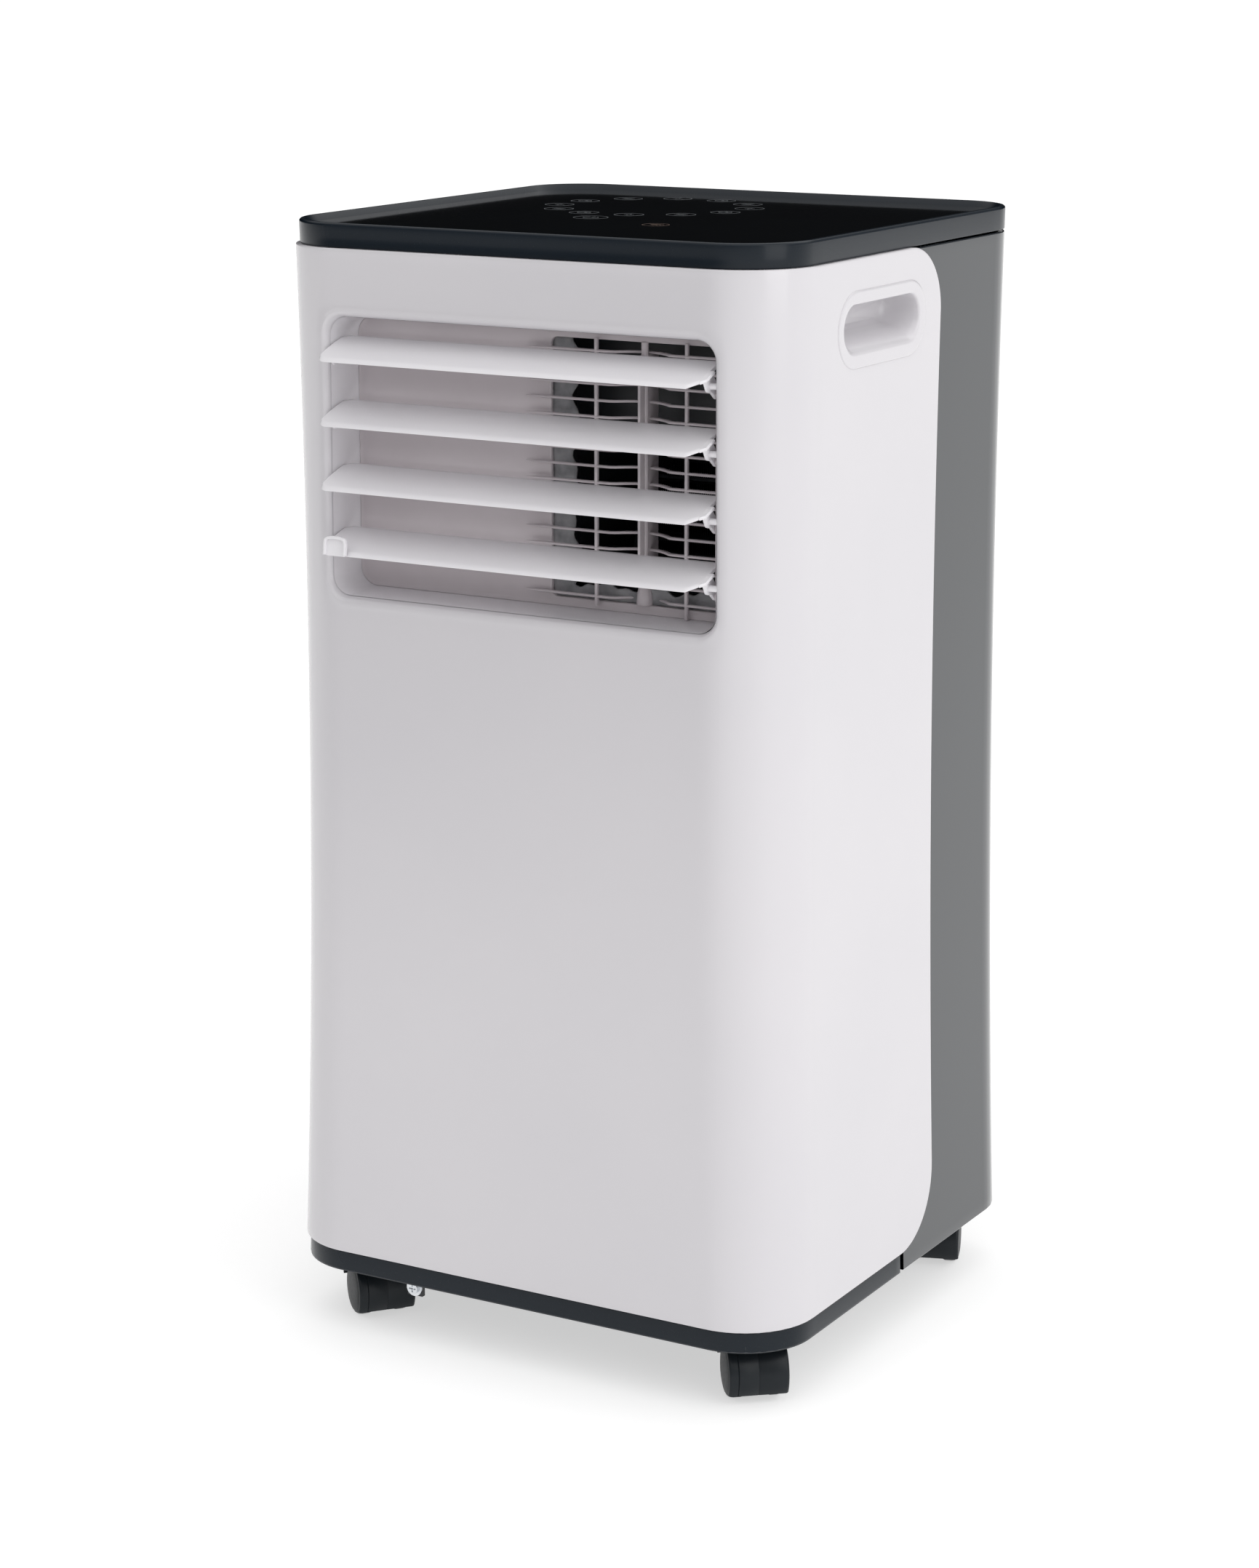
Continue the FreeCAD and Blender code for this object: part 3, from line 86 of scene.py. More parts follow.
def angle(label, text, value):
    """An angle property, kept in radians."""
    return bpy.props.FloatProperty(
        name=label, description=text, default=value, subtype="ANGLE", unit="ROTATION")


class CabinetSettings(bpy.types.PropertyGroup):
    """The cabinet's closed form."""

    bottom_width: length("Bottom width", "Width across the panel's sides at the foot", 0.360)
    top_width: length("Top width", "Width across the panel's sides at the top", 0.352)
    depth: length("Depth", "Front to back", 0.346)
    low: length("Foot", "Height of the cabinet's lower edge", 0.0396)
    high: length("Top", "Height of the lid's rim", 0.703)
    waist: length("Side waist", "How far each side bows inward", 0.0049)
    front_waist: length("Front waist", "How far the front bows inward", 0.0028)
    front_radius: length("Front corner", "Radius of the upright front corners", 0.048)
    back_radius: length("Back corner", "Radius of the upright back corners", 0.040)
    proud: length("Step", "How far the front panel stands out of the housing", 0.0026)
    panel_low: length("Panel foot", "Height of the front panel's lower edge", 0.053)
    panel_high: length("Panel top", "Height of the front panel's upper edge", 0.688)


class OutletSettings(bpy.types.PropertyGroup):
    """The air outlet in the front."""

    half_width: length("Half width", "Half the opening's clear width", 0.133)
    low: length("Sill", "Height of the opening's lower edge", 0.4754)
    high: length("Head", "Height of the opening's upper edge", 0.6465)
    radius: length("Corner", "Radius of the opening's corners", 0.012)
    lip: length("Lip", "Radius of the soft lip round the opening", 0.006)
    blade_pitch: length("Blade pitch", "Height between two louver blades", 0.0392)
    blade_tilt: angle("Blade tilt", "How far the blades' front edges hang", math.radians(19.8))


class StageSettings(bpy.types.PropertyGroup):
    """Camera and light."""

    lens: bpy.props.FloatProperty(
        name="Lens", description="Focal length in millimetres", default=84.98, min=20.0, max=300.0)
    camera_place: bpy.props.FloatVectorProperty(
        name="Camera", description="Where the camera stands", subtype="TRANSLATION",
        unit="LENGTH", default=(1.1323, -2.0111, 0.8984))
    camera_azimuth: angle("Azimuth", "How far round to the right the camera stands", math.radians(29.8))
    camera_pitch: angle("Pitch", "How far down the camera looks", math.radians(10.85))
    shift_y: bpy.props.FloatProperty(
        name="Shift", description="Vertical lens shift", default=-0.117, min=-0.2, max=0.2)
    sky: bpy.props.FloatProperty(
        name="Sky", description="Brightness of the overhead sky", default=1.4, min=0.0, max=20.0)
    key_power: bpy.props.FloatProperty(
        name="Key light", description="Power of the softbox at the right, in watts",
        default=14.0, min=0.0, max=2000.0)
    fill_power: bpy.props.FloatProperty(
        name="Fill light", description="Power of the softbox at the front, in watts",
        default=2.0, min=0.0, max=2000.0)
    floor_glow: bpy.props.FloatProperty(
        name="Floor glow", description="Light the floor gives off", default=0.55, min=0.0, max=5.0)


def cabinet():
    return bpy.context.scene.ac_cabinet


def outlet():
    return bpy.context.scene.ac_outlet


def mm(value):
    return value / MM


# ---------------------------------------------------------------- numbers and meshes

def lines(stops, step):
    """Grid lines through every stop, and no more than one step apart between them."""
    stops = np.unique(np.round(np.asarray(stops, float), 4))
    parts = [
        np.linspace(a, b, max(1, math.ceil((b - a) / step - 1e-6)), endpoint=False)
        for a, b in zip(stops, stops[1:])
    ]
    return np.concatenate(parts + [stops[-1:]])


def grid_faces(count_u, count_v, wrap_u=False, wrap_v=False, keep=None, flip=False):
    """Quads of a grid of points; a mask may leave some of them out."""
    index = np.arange(count_u * count_v).reshape(count_u, count_v)
    if wrap_u:
        index = np.vstack([index, index[:1]])
    if wrap_v:
        index = np.hstack([index, index[:, :1]])
    quads = np.stack([index[:-1, :-1], index[1:, :-1], index[1:, 1:], index[:-1, 1:]], axis=-1)
    quads = quads[keep] if keep is not None else quads.reshape(-1, 4)
    return quads[:, ::-1] if flip else quads


def sheet_of(points, wrap_u=False, wrap_v=False, keep=None, flip=False):
    """Points (u, v, 3) and their quads as one part."""
    faces = grid_faces(points.shape[0], points.shape[1], wrap_u, wrap_v, keep, flip)
    return points.reshape(-1, 3), faces


def joined(parts):
    """Several parts as one."""
    points, faces, start = [], [], 0
    for some_points, some_faces in parts:
        points.append(some_points)
        faces.append(some_faces + start)
        start += len(some_points)
    return np.concatenate(points), np.concatenate(faces)


def copies(part, offsets):
    """The same part at every offset, as one part."""
    points, faces = part
    offsets = np.asarray(offsets, float)
    all_points = (points[None] + offsets[:, None]).reshape(-1, 3)
    all_faces = (faces[None] + (np.arange(len(offsets)) * len(points))[:, None, None])
    return all_points, all_faces.reshape(-1, 4)


def turned(part, about, degrees, centre):
    """A part turned about one axis through a centre."""
    points, faces = part
    a = math.radians(degrees)
    c, s = math.cos(a), math.sin(a)
    first, second = {"x": (1, 2), "y": (2, 0), "z": (0, 1)}[about]
    matrix = np.eye(3)
    matrix[first, first] = c
    matrix[first, second] = -s
    matrix[second, first] = s
    matrix[second, second] = c
    centre = np.asarray(centre, float)
    return (points - centre) @ matrix.T + centre, faces


def mirrored_x(part):
    """A part mirrored in the plane x = 0, its faces turned round."""
    points, faces = part
    return points * np.array([-1.0, 1.0, 1.0]), faces[:, ::-1]


def rounded_corner(u, v, radius, spread, lip):
    """Share by which a point beyond a square corner's centre moves to lie on an arc.

    u and v are the distances past the arc's centre. Where the larger of them is r, the square
    ring of half size r becomes a circle of radius r; the effect fades over a spread outside.
    """
    far = np.maximum(u, v)
    along = np.hypot(u, v)
    inside = (u > 0) & (v > 0)
    full = np.where(inside, far / np.where(along > 0, along, 1), 1.0)
    if spread > 0:
        weight = np.clip(1 - (far - radius) / spread, 0, 1)
    else:
        weight = np.clip(far / (radius - lip), 0, 1) ** 2
    return 1 + (full - 1) * weight


def edge_profile(lip, wall, steps=4):
    """Offsets past a rim's start and the depths there: a quarter round and then a wall."""
    turn = np.linspace(0, math.pi / 2, steps + 1)
    past = np.append(lip * np.sin(turn), lip + 0.03)
    deep = np.append(lip * (1 - np.cos(turn)), max(wall, lip + 0.01))
    return past, deep


class Hole:
    """A rounded rectangle cut in a plate, with a rounded rim."""

    def __init__(self, s, z, half_s, half_z, radius, lip=0.8, wall=3.0, spread=8.0, steps=8):
        self.s, self.z = s, z
        self.half_s, self.half_z = half_s, half_z
        self.radius, self.spread = radius, spread
        self.past, self.deep = edge_profile(lip, wall)
        self.steps = steps

    def stops(self, middle, half):
        corner = half - self.radius
        out = np.concatenate([
            np.linspace(corner, half, self.steps), half - self.past, [half + self.spread]])
        out = out[out >= corner - 1e-6]
        return np.concatenate([middle - out, middle + out])


def plate(place, s_range, z_range, radii, holes=(), lip=0.8, wall=3.0, step=6.0, extra=(), drop=None):
    """A thin moulded plate on a curved form.

    place(s, z, depth) gives a point of the form. The plate spans s_range and z_range; radii are
    its corner radii (low s low z, high s low z, high s high z, low s high z). Square grid rings
    at the corners and round the holes become arcs, and the rims turn inward.
    """
    past, deep = edge_profile(lip, wall)
    s0, s1 = s_range
    z0, z1 = z_range
    inset = past[-1] - past
    s_stops = [np.array([s0, s1]), s0 + inset, s1 - inset, np.asarray(extra, float)]
    z_stops = [np.array([z0, z1]), z0 + inset, z1 - inset]
    for corner, radius in enumerate(radii):
        if radius <= 0:
            continue
        fan = np.linspace(0, radius, 10)
        s_stops.append(s1 - fan if corner in (1, 2) else s0 + fan)
        z_stops.append(z1 - fan if corner in (2, 3) else z0 + fan)
    for hole in holes:
        s_stops.append(hole.stops(hole.s, hole.half_s))
        z_stops.append(hole.stops(hole.z, hole.half_z))
    s_all = np.concatenate(s_stops)
    z_all = np.concatenate(z_stops)
    s_line = lines(s_all[(s_all >= s0 - 1e-6) & (s_all <= s1 + 1e-6)], step)
    z_line = lines(z_all[(z_all >= z0 - 1e-6) & (z_all <= z1 + 1e-6)], step)
    s, z = np.meshgrid(s_line, z_line, indexing="ij")
    start = past[-1]
    beyond = np.maximum.reduce([s - (s1 - start), (s0 + start) - s, z - (z1 - start), (z0 + start) - z])
    depth = np.interp(np.clip(beyond, 0, None), past, deep)
    middle_s = (s[:-1, :-1] + s[1:, 1:]) / 2
    middle_z = (z[:-1, :-1] + z[1:, 1:]) / 2
    keep = np.ones(middle_s.shape, bool)
    new_s, new_z = s.copy(), z.copy()
    for corner, radius in enumerate(radii):
        if radius <= 0:
            continue
        out_s = 1 if corner in (1, 2) else -1
        out_z = 1 if corner in (2, 3) else -1
        centre_s = (s1 if out_s > 0 else s0) - out_s * radius
        centre_z = (z1 if out_z > 0 else z0) - out_z * radius
        u = (s - centre_s) * out_s
        v = (z - centre_z) * out_z
        share = rounded_corner(u, v, radius, 0, lip)
        near = (u > 0) & (v > 0)
        new_s = np.where(near, centre_s + out_s * u * share, new_s)
        new_z = np.where(near, centre_z + out_z * v * share, new_z)
    for hole in holes:
        gap = np.minimum(hole.half_s - np.abs(s - hole.s), hole.half_z - np.abs(z - hole.z))
        depth = np.maximum(depth, np.interp(np.clip(gap, 0, None), hole.past, hole.deep))
        middle_gap = np.minimum(
            hole.half_s - np.abs(middle_s - hole.s), hole.half_z - np.abs(middle_z - hole.z))
        keep &= middle_gap < hole.past[-1]
        u = np.abs(s - hole.s) - (hole.half_s - hole.radius)
        v = np.abs(z - hole.z) - (hole.half_z - hole.radius)
        share = rounded_corner(u, v, hole.radius, hole.spread, 0)
        far = np.maximum(u, v)
        near = (u > 0) & (v > 0) & (far < hole.radius + hole.spread)
        pull = np.clip(1 - (far - hole.radius) / hole.spread, 0, 1)
        arc_s = hole.s + np.sign(s - hole.s) * (hole.half_s - hole.radius + u * share)
        arc_z = hole.z + np.sign(z - hole.z) * (hole.half_z - hole.radius + v * share)
        moved_s = np.where(near, arc_s, s)
        moved_z = np.where(near, arc_z, z)
        new_s = np.where(pull > 0, new_s * (1 - pull) + moved_s * pull, new_s)
        new_z = np.where(pull > 0, new_z * (1 - pull) + moved_z * pull, new_z)
    if drop is not None:
        keep &= ~drop(middle_s, middle_z)
    return sheet_of(place(new_s, new_z, depth), keep=keep)


def loft(rings, flip=False, cap_start=False, cap_end=False):
    """Closed rings (k, n, 3) joined in order; a cap closes an end to the ring's middle."""
    rings = np.asarray(rings, float)
    if cap_start:
        rings = np.concatenate([np.repeat(rings[:1].mean(1, keepdims=True), rings.shape[1], 1), rings])
    if cap_end:
        rings = np.concatenate([rings, np.repeat(rings[-1:].mean(1, keepdims=True), rings.shape[1], 1)])
    return sheet_of(rings, wrap_v=True, flip=flip)


def lathe(radii, heights, axis, centre, count=64, flip=False):
    """A surface of revolution: radii against heights along an axis."""
    turn = np.linspace(0, 2 * math.pi, count, endpoint=False)
    r = np.asarray(radii, float)[:, None]
    h = np.broadcast_to(np.asarray(heights, float)[:, None], (len(radii), count))
    a, b = r * np.cos(turn), r * np.sin(turn)
    order = {"x": (h, a, b), "y": (b, h, a), "z": (a, b, h)}[axis]
    return sheet_of(np.stack(order, axis=-1) + np.asarray(centre, float), wrap_v=True, flip=not flip)


def sweep(path, outline, up=(0.0, 0.0, 1.0), scale=None, closed=False, caps=True):
    """An outline (m, 2) carried along a path (n, 3): first value sideways, second along up."""
    path = np.asarray(path, float)
    outline = np.asarray(outline, float)
    if closed:
        ahead = np.roll(path, -1, 0) - np.roll(path, 1, 0)
    else:
        ahead = np.gradient(path, axis=0)
    ahead /= np.linalg.norm(ahead, axis=1, keepdims=True)
    up = np.broadcast_to(np.asarray(up, float), path.shape)
    side = np.cross(ahead, up)
    side /= np.linalg.norm(side, axis=1, keepdims=True)
    over = np.cross(side, ahead)
    size = np.broadcast_to(1.0 if scale is None else np.asarray(scale, float), (len(path), 2))
    rings = (
        path[:, None]
        + side[:, None] * (outline[None, :, :1] * size[:, None, :1])
        + over[:, None] * (outline[None, :, 1:] * size[:, None, 1:])
    )
    if closed:
        return sheet_of(rings, wrap_u=True, wrap_v=True)
    return loft(rings, cap_start=caps, cap_end=caps)


def round_outline(half_a, half_b, radius, steps=3):
    """A rounded rectangle's outline, anticlockwise."""
    turn = np.linspace(0, math.pi / 2, steps + 1)
    parts = []
    for quarter, (sa, sb) in enumerate(((1, 1), (-1, 1), (-1, -1), (1, -1))):
        a = turn + quarter * math.pi / 2
        parts.append(np.stack([
            sa * (half_a - radius) + radius * np.cos(a),
            sb * (half_b - radius) + radius * np.sin(a)], axis=-1))
    return np.concatenate(parts)


def box_part(low, high, round_off=0.4):
    """A small block with rounded upright edges and softened ends."""
    low, high = np.asarray(low, float), np.asarray(high, float)
    half = (high - low) / 2
    middle = (high + low) / 2
    r = min(round_off, half.min() * 0.9)
    insets = np.array([r, r * 0.3, 0, 0, r * 0.3, r])
    tall = half[2]
    levels = np.array([-tall, -tall + r * 0.3, -tall + r, tall - r, tall - r * 0.3, tall])
    rings = []
    for inset, level in zip(insets, levels):
        ring = round_outline(half[0] - inset, half[1] - inset, max(r - inset, 0.05), 2)
        rings.append(np.column_stack([ring, np.full(len(ring), level)]))
    points, faces = loft(rings, cap_start=True, cap_end=True)
    return points + middle, faces[:, ::-1]


def make_piece(name, part, body, material, replaces=(), sharp=38.0):
    """A mesh object riding on a CAD body, with its finish and the nodes it stands for."""
    points, faces = part
    keys = np.round(points, 4)
    _, first, inverse = np.unique(keys, axis=0, return_index=True, return_inverse=True)
    inverse = inverse.ravel()
    faces = inverse[faces]
    tidy = [list(dict.fromkeys(face)) for face in faces.tolist()]
    tidy = [face for face in tidy if len(face) > 2]
    mesh = bpy.data.meshes.new(name)
    mesh.from_pydata((points[first] * MM).tolist(), [], tidy)
    if mesh.validate():
        print("mended", name)
    mesh.polygons.foreach_set("use_smooth", np.ones(len(mesh.polygons), bool))
    mesh.set_sharp_from_angle(angle=math.radians(sharp))
    mesh.materials.append(material)
    piece = bpy.data.objects.new(name, mesh)
    bpy.context.scene.collection.objects.link(piece)
    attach(piece, body)
    if replaces:
        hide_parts(*replaces)
    return piece


# ---------------------------------------------------------------- the cabinet's form

def height_share(z):
    """How far up the cabinet a height is, from 0 at its foot to 1 at its top."""
    c = cabinet()
    return (z - mm(c.low)) / mm(c.high - c.low)


def half_width(z):
    """Half the width at a height: a straight taper less a shallow parabola."""
    c = cabinet()
    t = height_share(z)
    straight = mm(c.bottom_width) / 2 * (1 - t) + mm(c.top_width) / 2 * t
    return straight - 4 * mm(c.waist) * t * (1 - t)


def front_reach(z):
    """How far the front stands from the middle at a height, less its own shallow parabola."""
    c = cabinet()
    t = height_share(z)
    return mm(c.depth) / 2 - 4 * mm(c.front_waist) * t * (1 - t)


def skin(s, z, depth, rear=False, proud=0.0):
    """A point of the cabinet's form.

    s runs round the form from the middle of the front, or of the back for the rear half. Up to
    FRONT_STRAIGHT it is x itself, then it turns through the rest of the corner, and on the side
    it counts whole millimetres of y. depth is measured inward.
    """
    c = cabinet()
    a = np.abs(s)
    wide = half_width(z) - proud - depth
    if rear:
        deep = mm(c.depth) / 2 - depth + 0 * z
        radius = mm(c.back_radius) - depth
        side_y = REAR_SIDE_Y
    else:
        deep = front_reach(z) - proud - depth
        radius = mm(c.front_radius) - proud - depth
        side_y = FRONT_SIDE_Y
    flat = wide - radius
    over = np.clip(np.minimum(a, FRONT_STRAIGHT) - flat, 0, None)
    face = deep - radius + np.sqrt(np.clip(radius ** 2 - over ** 2, 0, None))
    first = np.arcsin(np.clip((FRONT_STRAIGHT - flat) / radius, 0, 1))
    turned_by = np.clip((a - FRONT_STRAIGHT) / (TURN_END - FRONT_STRAIGHT), 0, 1)
    turn = first + (math.pi / 2 - first) * turned_by
    share = np.clip((a - TURN_END) / (SIDE_START - TURN_END), 0, 1)
    x = np.where(a <= FRONT_STRAIGHT, a, np.where(a <= TURN_END, flat + radius * np.sin(turn), wide))
    y = np.where(
        a <= FRONT_STRAIGHT, face,
        np.where(
            a <= TURN_END, deep - radius + radius * np.cos(turn),
            np.where(
                a <= SIDE_START, (deep - radius) * (1 - share) + side_y * share,
                side_y + SIDE_START - a)))
    return np.stack([np.sign(s) * x, y if rear else -y, z + 0 * x], axis=-1)


def front_s(y):
    """The s of a side point of the front half, from its y."""
    return FRONT_SIDE_Y + SIDE_START + y


def rear_s(y):
    """The s of a side point of the rear half, from its y."""
    return REAR_SIDE_Y + SIDE_START - y


def form_ring(inset, z, back_inset=None, across=24, corner=14, side=20):
    """The closed outline of the form at one height, drawn in by an inset."""
    c = cabinet()
    back_inset = inset if back_inset is None else back_inset
    wide = half_width(z) - inset
    ahead = front_reach(z) - inset
    behind = mm(c.depth) / 2 - back_inset
    rf, rb = mm(c.front_radius) - inset, mm(c.back_radius) - back_inset
    turn = np.linspace(0, math.pi / 2, corner + 1)
    places = (
        (wide - rf, -ahead + rf, rf, -math.pi / 2), (wide - rb, behind - rb, rb, 0.0),
        (-wide + rb, behind - rb, rb, math.pi / 2), (-wide + rf, -ahead + rf, rf, math.pi),
    )
    arcs = [
        np.stack([x + r * np.cos(turn + a), y + r * np.sin(turn + a)], axis=-1)
        for x, y, r, a in places
    ]
    parts = []
    for i, count in enumerate((side, across, side, across)):
        start, end = arcs[i][-1], arcs[(i + 1) % 4][0]
        share = np.linspace(0, 1, count + 1)[1:-1, None]
        parts += [arcs[i], start * (1 - share) + end * share]
    ring = np.concatenate(parts)
    return np.column_stack([ring, np.full(len(ring), float(z))])


# ---------------------------------------------------------------- finishes

def value_node(nodes, kind, **inputs):
    """A new shader node with its named inputs set."""
    node = nodes.new(kind)
    for key, value in inputs.items():
        node.inputs[key.replace("_", " ")].default_value = value
    return node


def finish(name, colour, rough, shade=None, metallic=0.0, coat=0.0, grain=0.0,
           grain_size=900.0, wave=0.0, wave_size=7.0, spread=0.05, specular=0.5, stripes=None):
    """A procedural finish: broad tone and gloss changes, fine grain and a slight unevenness.

    grain and wave are bump heights in metres; stripes is (axis, pitch in metres, darkness).
    """
    material = bpy.data.materials.new(name)
    material.use_nodes = True
    nodes, links = material.node_tree.nodes, material.node_tree.links
    shader = nodes["Principled BSDF"]
    place = nodes.new("ShaderNodeTexCoord")
    broad = value_node(nodes, "ShaderNodeTexNoise", Scale=wave_size, Detail=3.0, Roughness=0.5)
    fine = value_node(nodes, "ShaderNodeTexNoise", Scale=grain_size, Detail=6.0, Roughness=0.6)
    links.new(place.outputs["Object"], broad.inputs["Vector"])
    links.new(place.outputs["Object"], fine.inputs["Vector"])
    tone = nodes.new("ShaderNodeMix")
    tone.data_type = "RGBA"
    second = shade if shade is not None else tuple(channel * 0.86 for channel in colour)
    tone.inputs["A"].default_value = (*colour, 1)
    tone.inputs["B"].default_value = (*second, 1)
    spreading = value_node(nodes, "ShaderNodeMapRange", From_Min=0.35, From_Max=0.7)
    links.new(broad.outputs["Fac"], spreading.inputs["Value"])
    links.new(spreading.outputs["Result"], tone.inputs["Factor"])
    colour_out = tone.outputs["Result"]
    # Stripes darken the colour in bands: painted shade between the fins, and the board's own pattern.
    if stripes is not None:
        axis, pitch, dark = stripes
        split = nodes.new("ShaderNodeSeparateXYZ")
        links.new(place.outputs["Object"], split.inputs["Vector"])
        step = nodes.new("ShaderNodeMath")
        step.operation = "PINGPONG"
        step.inputs[1].default_value = pitch / 2
        links.new(split.outputs[axis], step.inputs[0])
        level = value_node(nodes, "ShaderNodeMapRange", From_Min=pitch * 0.1, From_Max=pitch * 0.3,
                           To_Min=dark, To_Max=1.0)
        links.new(step.outputs["Value"], level.inputs["Value"])
        darker = nodes.new("ShaderNodeMix")
        darker.data_type = "RGBA"
        darker.blend_type = "MULTIPLY"
        darker.inputs["Factor"].default_value = 1.0
        links.new(colour_out, darker.inputs["A"])
        links.new(level.outputs["Result"], darker.inputs["B"])
        colour_out = darker.outputs["Result"]
    links.new(colour_out, shader.inputs["Base Color"])
    gloss = value_node(nodes, "ShaderNodeMapRange", From_Min=0.3, From_Max=0.7,
                       To_Min=max(rough - spread, 0.02), To_Max=min(rough + spread, 1.0))
    links.new(fine.outputs["Fac"], gloss.inputs["Value"])
    links.new(gloss.outputs["Result"], shader.inputs["Roughness"])
    uneven = value_node(nodes, "ShaderNodeBump", Strength=0.5, Distance=max(wave, 1e-6))
    links.new(broad.outputs["Fac"], uneven.inputs["Height"])
    rougher = value_node(nodes, "ShaderNodeBump", Strength=0.5, Distance=max(grain, 1e-7))
    links.new(fine.outputs["Fac"], rougher.inputs["Height"])
    links.new(uneven.outputs["Normal"], rougher.inputs["Normal"])
    links.new(rougher.outputs["Normal"], shader.inputs["Normal"])
    shader.inputs["Metallic"].default_value = metallic
    shader.inputs["Coat Weight"].default_value = coat
    shader.inputs["Coat Roughness"].default_value = 0.05
    shader.inputs["Specular IOR Level"].default_value = specular
    return material


FINISHES = {
    "white": dict(colour=(0.64, 0.622, 0.645), shade=(0.615, 0.60, 0.625), rough=0.2, coat=0.3,
                  grain=4e-7, grain_size=1400.0, wave=1.5e-4, wave_size=5.0, spread=0.04),
    # painted shade: a darker, warmer copy of the white for the recess's back wall, the grille and the
    # vane, standing in for the shade deep in the outlet
    "white_inner": dict(colour=(0.56, 0.515, 0.535), shade=(0.52, 0.475, 0.495), rough=0.32, coat=0.1,
                        grain=1e-6, wave=1e-4, wave_size=18.0),
    # painted light: a brighter copy of the white for the blades, the tab and the outlet's side walls,
    # standing in for the light that falls on them
    "white_painted_light": dict(colour=(0.80, 0.785, 0.81), shade=(0.78, 0.765, 0.79), rough=0.24, coat=0.2,
                        grain=4e-7, grain_size=1400.0, wave=8e-5, wave_size=12.0, spread=0.04),
    "slate": dict(colour=(0.006, 0.010, 0.015), shade=(0.005, 0.0085, 0.013), rough=0.15, coat=0.4,
                  grain=4e-7, grain_size=1200.0, wave=1.2e-4, wave_size=6.0, spread=0.05),
    "navy": dict(colour=(0.005, 0.0095, 0.0155), shade=(0.004, 0.008, 0.013), rough=0.24, coat=0.05,
                 grain=4e-7, grain_size=1200.0, wave=1e-4, wave_size=6.0, spread=0.04, specular=0.24),
    "black_glass": dict(colour=(0.003, 0.004, 0.006), shade=(0.004, 0.006, 0.008), rough=0.08,
                        coat=0.5, grain=1e-7, wave=4e-5, wave_size=9.0, spread=0.03),
    "black_plastic": dict(colour=(0.012, 0.014, 0.017), shade=(0.017, 0.019, 0.022), rough=0.38,
                          grain=3e-6, grain_size=700.0, wave=5e-5, wave_size=30.0),
    "grey_plastic": dict(colour=(0.30, 0.31, 0.33), shade=(0.25, 0.26, 0.28), rough=0.42,
                         grain=4e-6, grain_size=800.0, wave=1e-4, wave_size=20.0),
    "foam": dict(colour=(0.30, 0.30, 0.31), shade=(0.18, 0.18, 0.19), rough=0.95, grain=4e-4,
                 grain_size=420.0, wave=6e-4, wave_size=90.0, specular=0.2),
    "copper": dict(colour=(0.80, 0.38, 0.22), shade=(0.55, 0.24, 0.13), rough=0.3, metallic=1.0,
                   grain=3e-6, wave=8e-5, wave_size=40.0, spread=0.1),
    # fins: the dark stripes are painted shade in the gaps between the fins
    "fins": dict(colour=(0.62, 0.64, 0.66), shade=(0.52, 0.55, 0.58), rough=0.35, metallic=1.0,
                 grain=6e-6, wave=1e-4, wave_size=40.0, spread=0.1, stripes=("X", 0.0016, 0.25)),
    "steel": dict(colour=(0.56, 0.57, 0.58), shade=(0.42, 0.43, 0.45), rough=0.34, metallic=1.0,
                  grain=4e-6, wave=6e-5, wave_size=50.0, spread=0.1),
    "enamel": dict(colour=(0.010, 0.011, 0.012), shade=(0.016, 0.017, 0.018), rough=0.3, coat=0.4,
                   grain=6e-6, grain_size=300.0, wave=2e-4, wave_size=25.0),
    "board": dict(colour=(0.015, 0.12, 0.05), shade=(0.02, 0.17, 0.07), rough=0.4, coat=0.3,
                  grain=6e-5, grain_size=260.0, wave=1e-4, wave_size=60.0,
                  stripes=("X", 0.004, 0.7)),
    "rubber": dict(colour=(0.018, 0.018, 0.019), shade=(0.03, 0.03, 0.031), rough=0.75,
                   grain=1.2e-5, grain_size=500.0, wave=1e-4, wave_size=40.0, specular=0.3),
    "tyre": dict(colour=(0.008, 0.010, 0.012), shade=(0.012, 0.015, 0.018), rough=0.42,
                 grain=6e-6, grain_size=500.0, wave=1e-4, wave_size=40.0, specular=0.22),
    "zinc": dict(colour=(0.72, 0.74, 0.76), shade=(0.60, 0.62, 0.65), rough=0.25, metallic=1.0,
                 grain=3e-6, wave=5e-5, wave_size=120.0, spread=0.1),
    "print": dict(colour=(0.16, 0.17, 0.18), shade=(0.13, 0.14, 0.15), rough=0.35,
                  grain=1e-6, wave=1e-5, wave_size=60.0),
    "warm_print": dict(colour=(0.15, 0.10, 0.08), shade=(0.13, 0.09, 0.07), rough=0.35,
                       grain=1e-6, wave=1e-5, wave_size=60.0),
    "net": dict(colour=(0.020, 0.022, 0.025), shade=(0.03, 0.032, 0.035), rough=0.6,
                grain=1e-5, wave=1e-4, wave_size=60.0),
    "caster_shade": dict(colour=(0.008, 0.011, 0.014), shade=(0.012, 0.015, 0.018), rough=0.34,
                         grain=3e-6, grain_size=700.0, wave=8e-5, wave_size=40.0,
                         specular=0.22),
}


def look(name):
    """The finish of that name, made when it is first asked for."""
    found = bpy.data.materials.get("ac_" + name)
    return found if found is not None else finish("ac_" + name, **FINISHES[name])


# ---------------------------------------------------------------- front panel

def outlet_hole():
    """The outlet opening, with a deep inward rim."""
    o = outlet()
    lip = mm(o.lip)
    middle = mm(o.low + o.high) / 2
    return Hole(
        0.0, middle, mm(o.half_width) + lip, mm(o.high - o.low) / 2 + lip, mm(o.radius) + lip,
        lip=lip, wall=11.0, spread=10.0, steps=9)


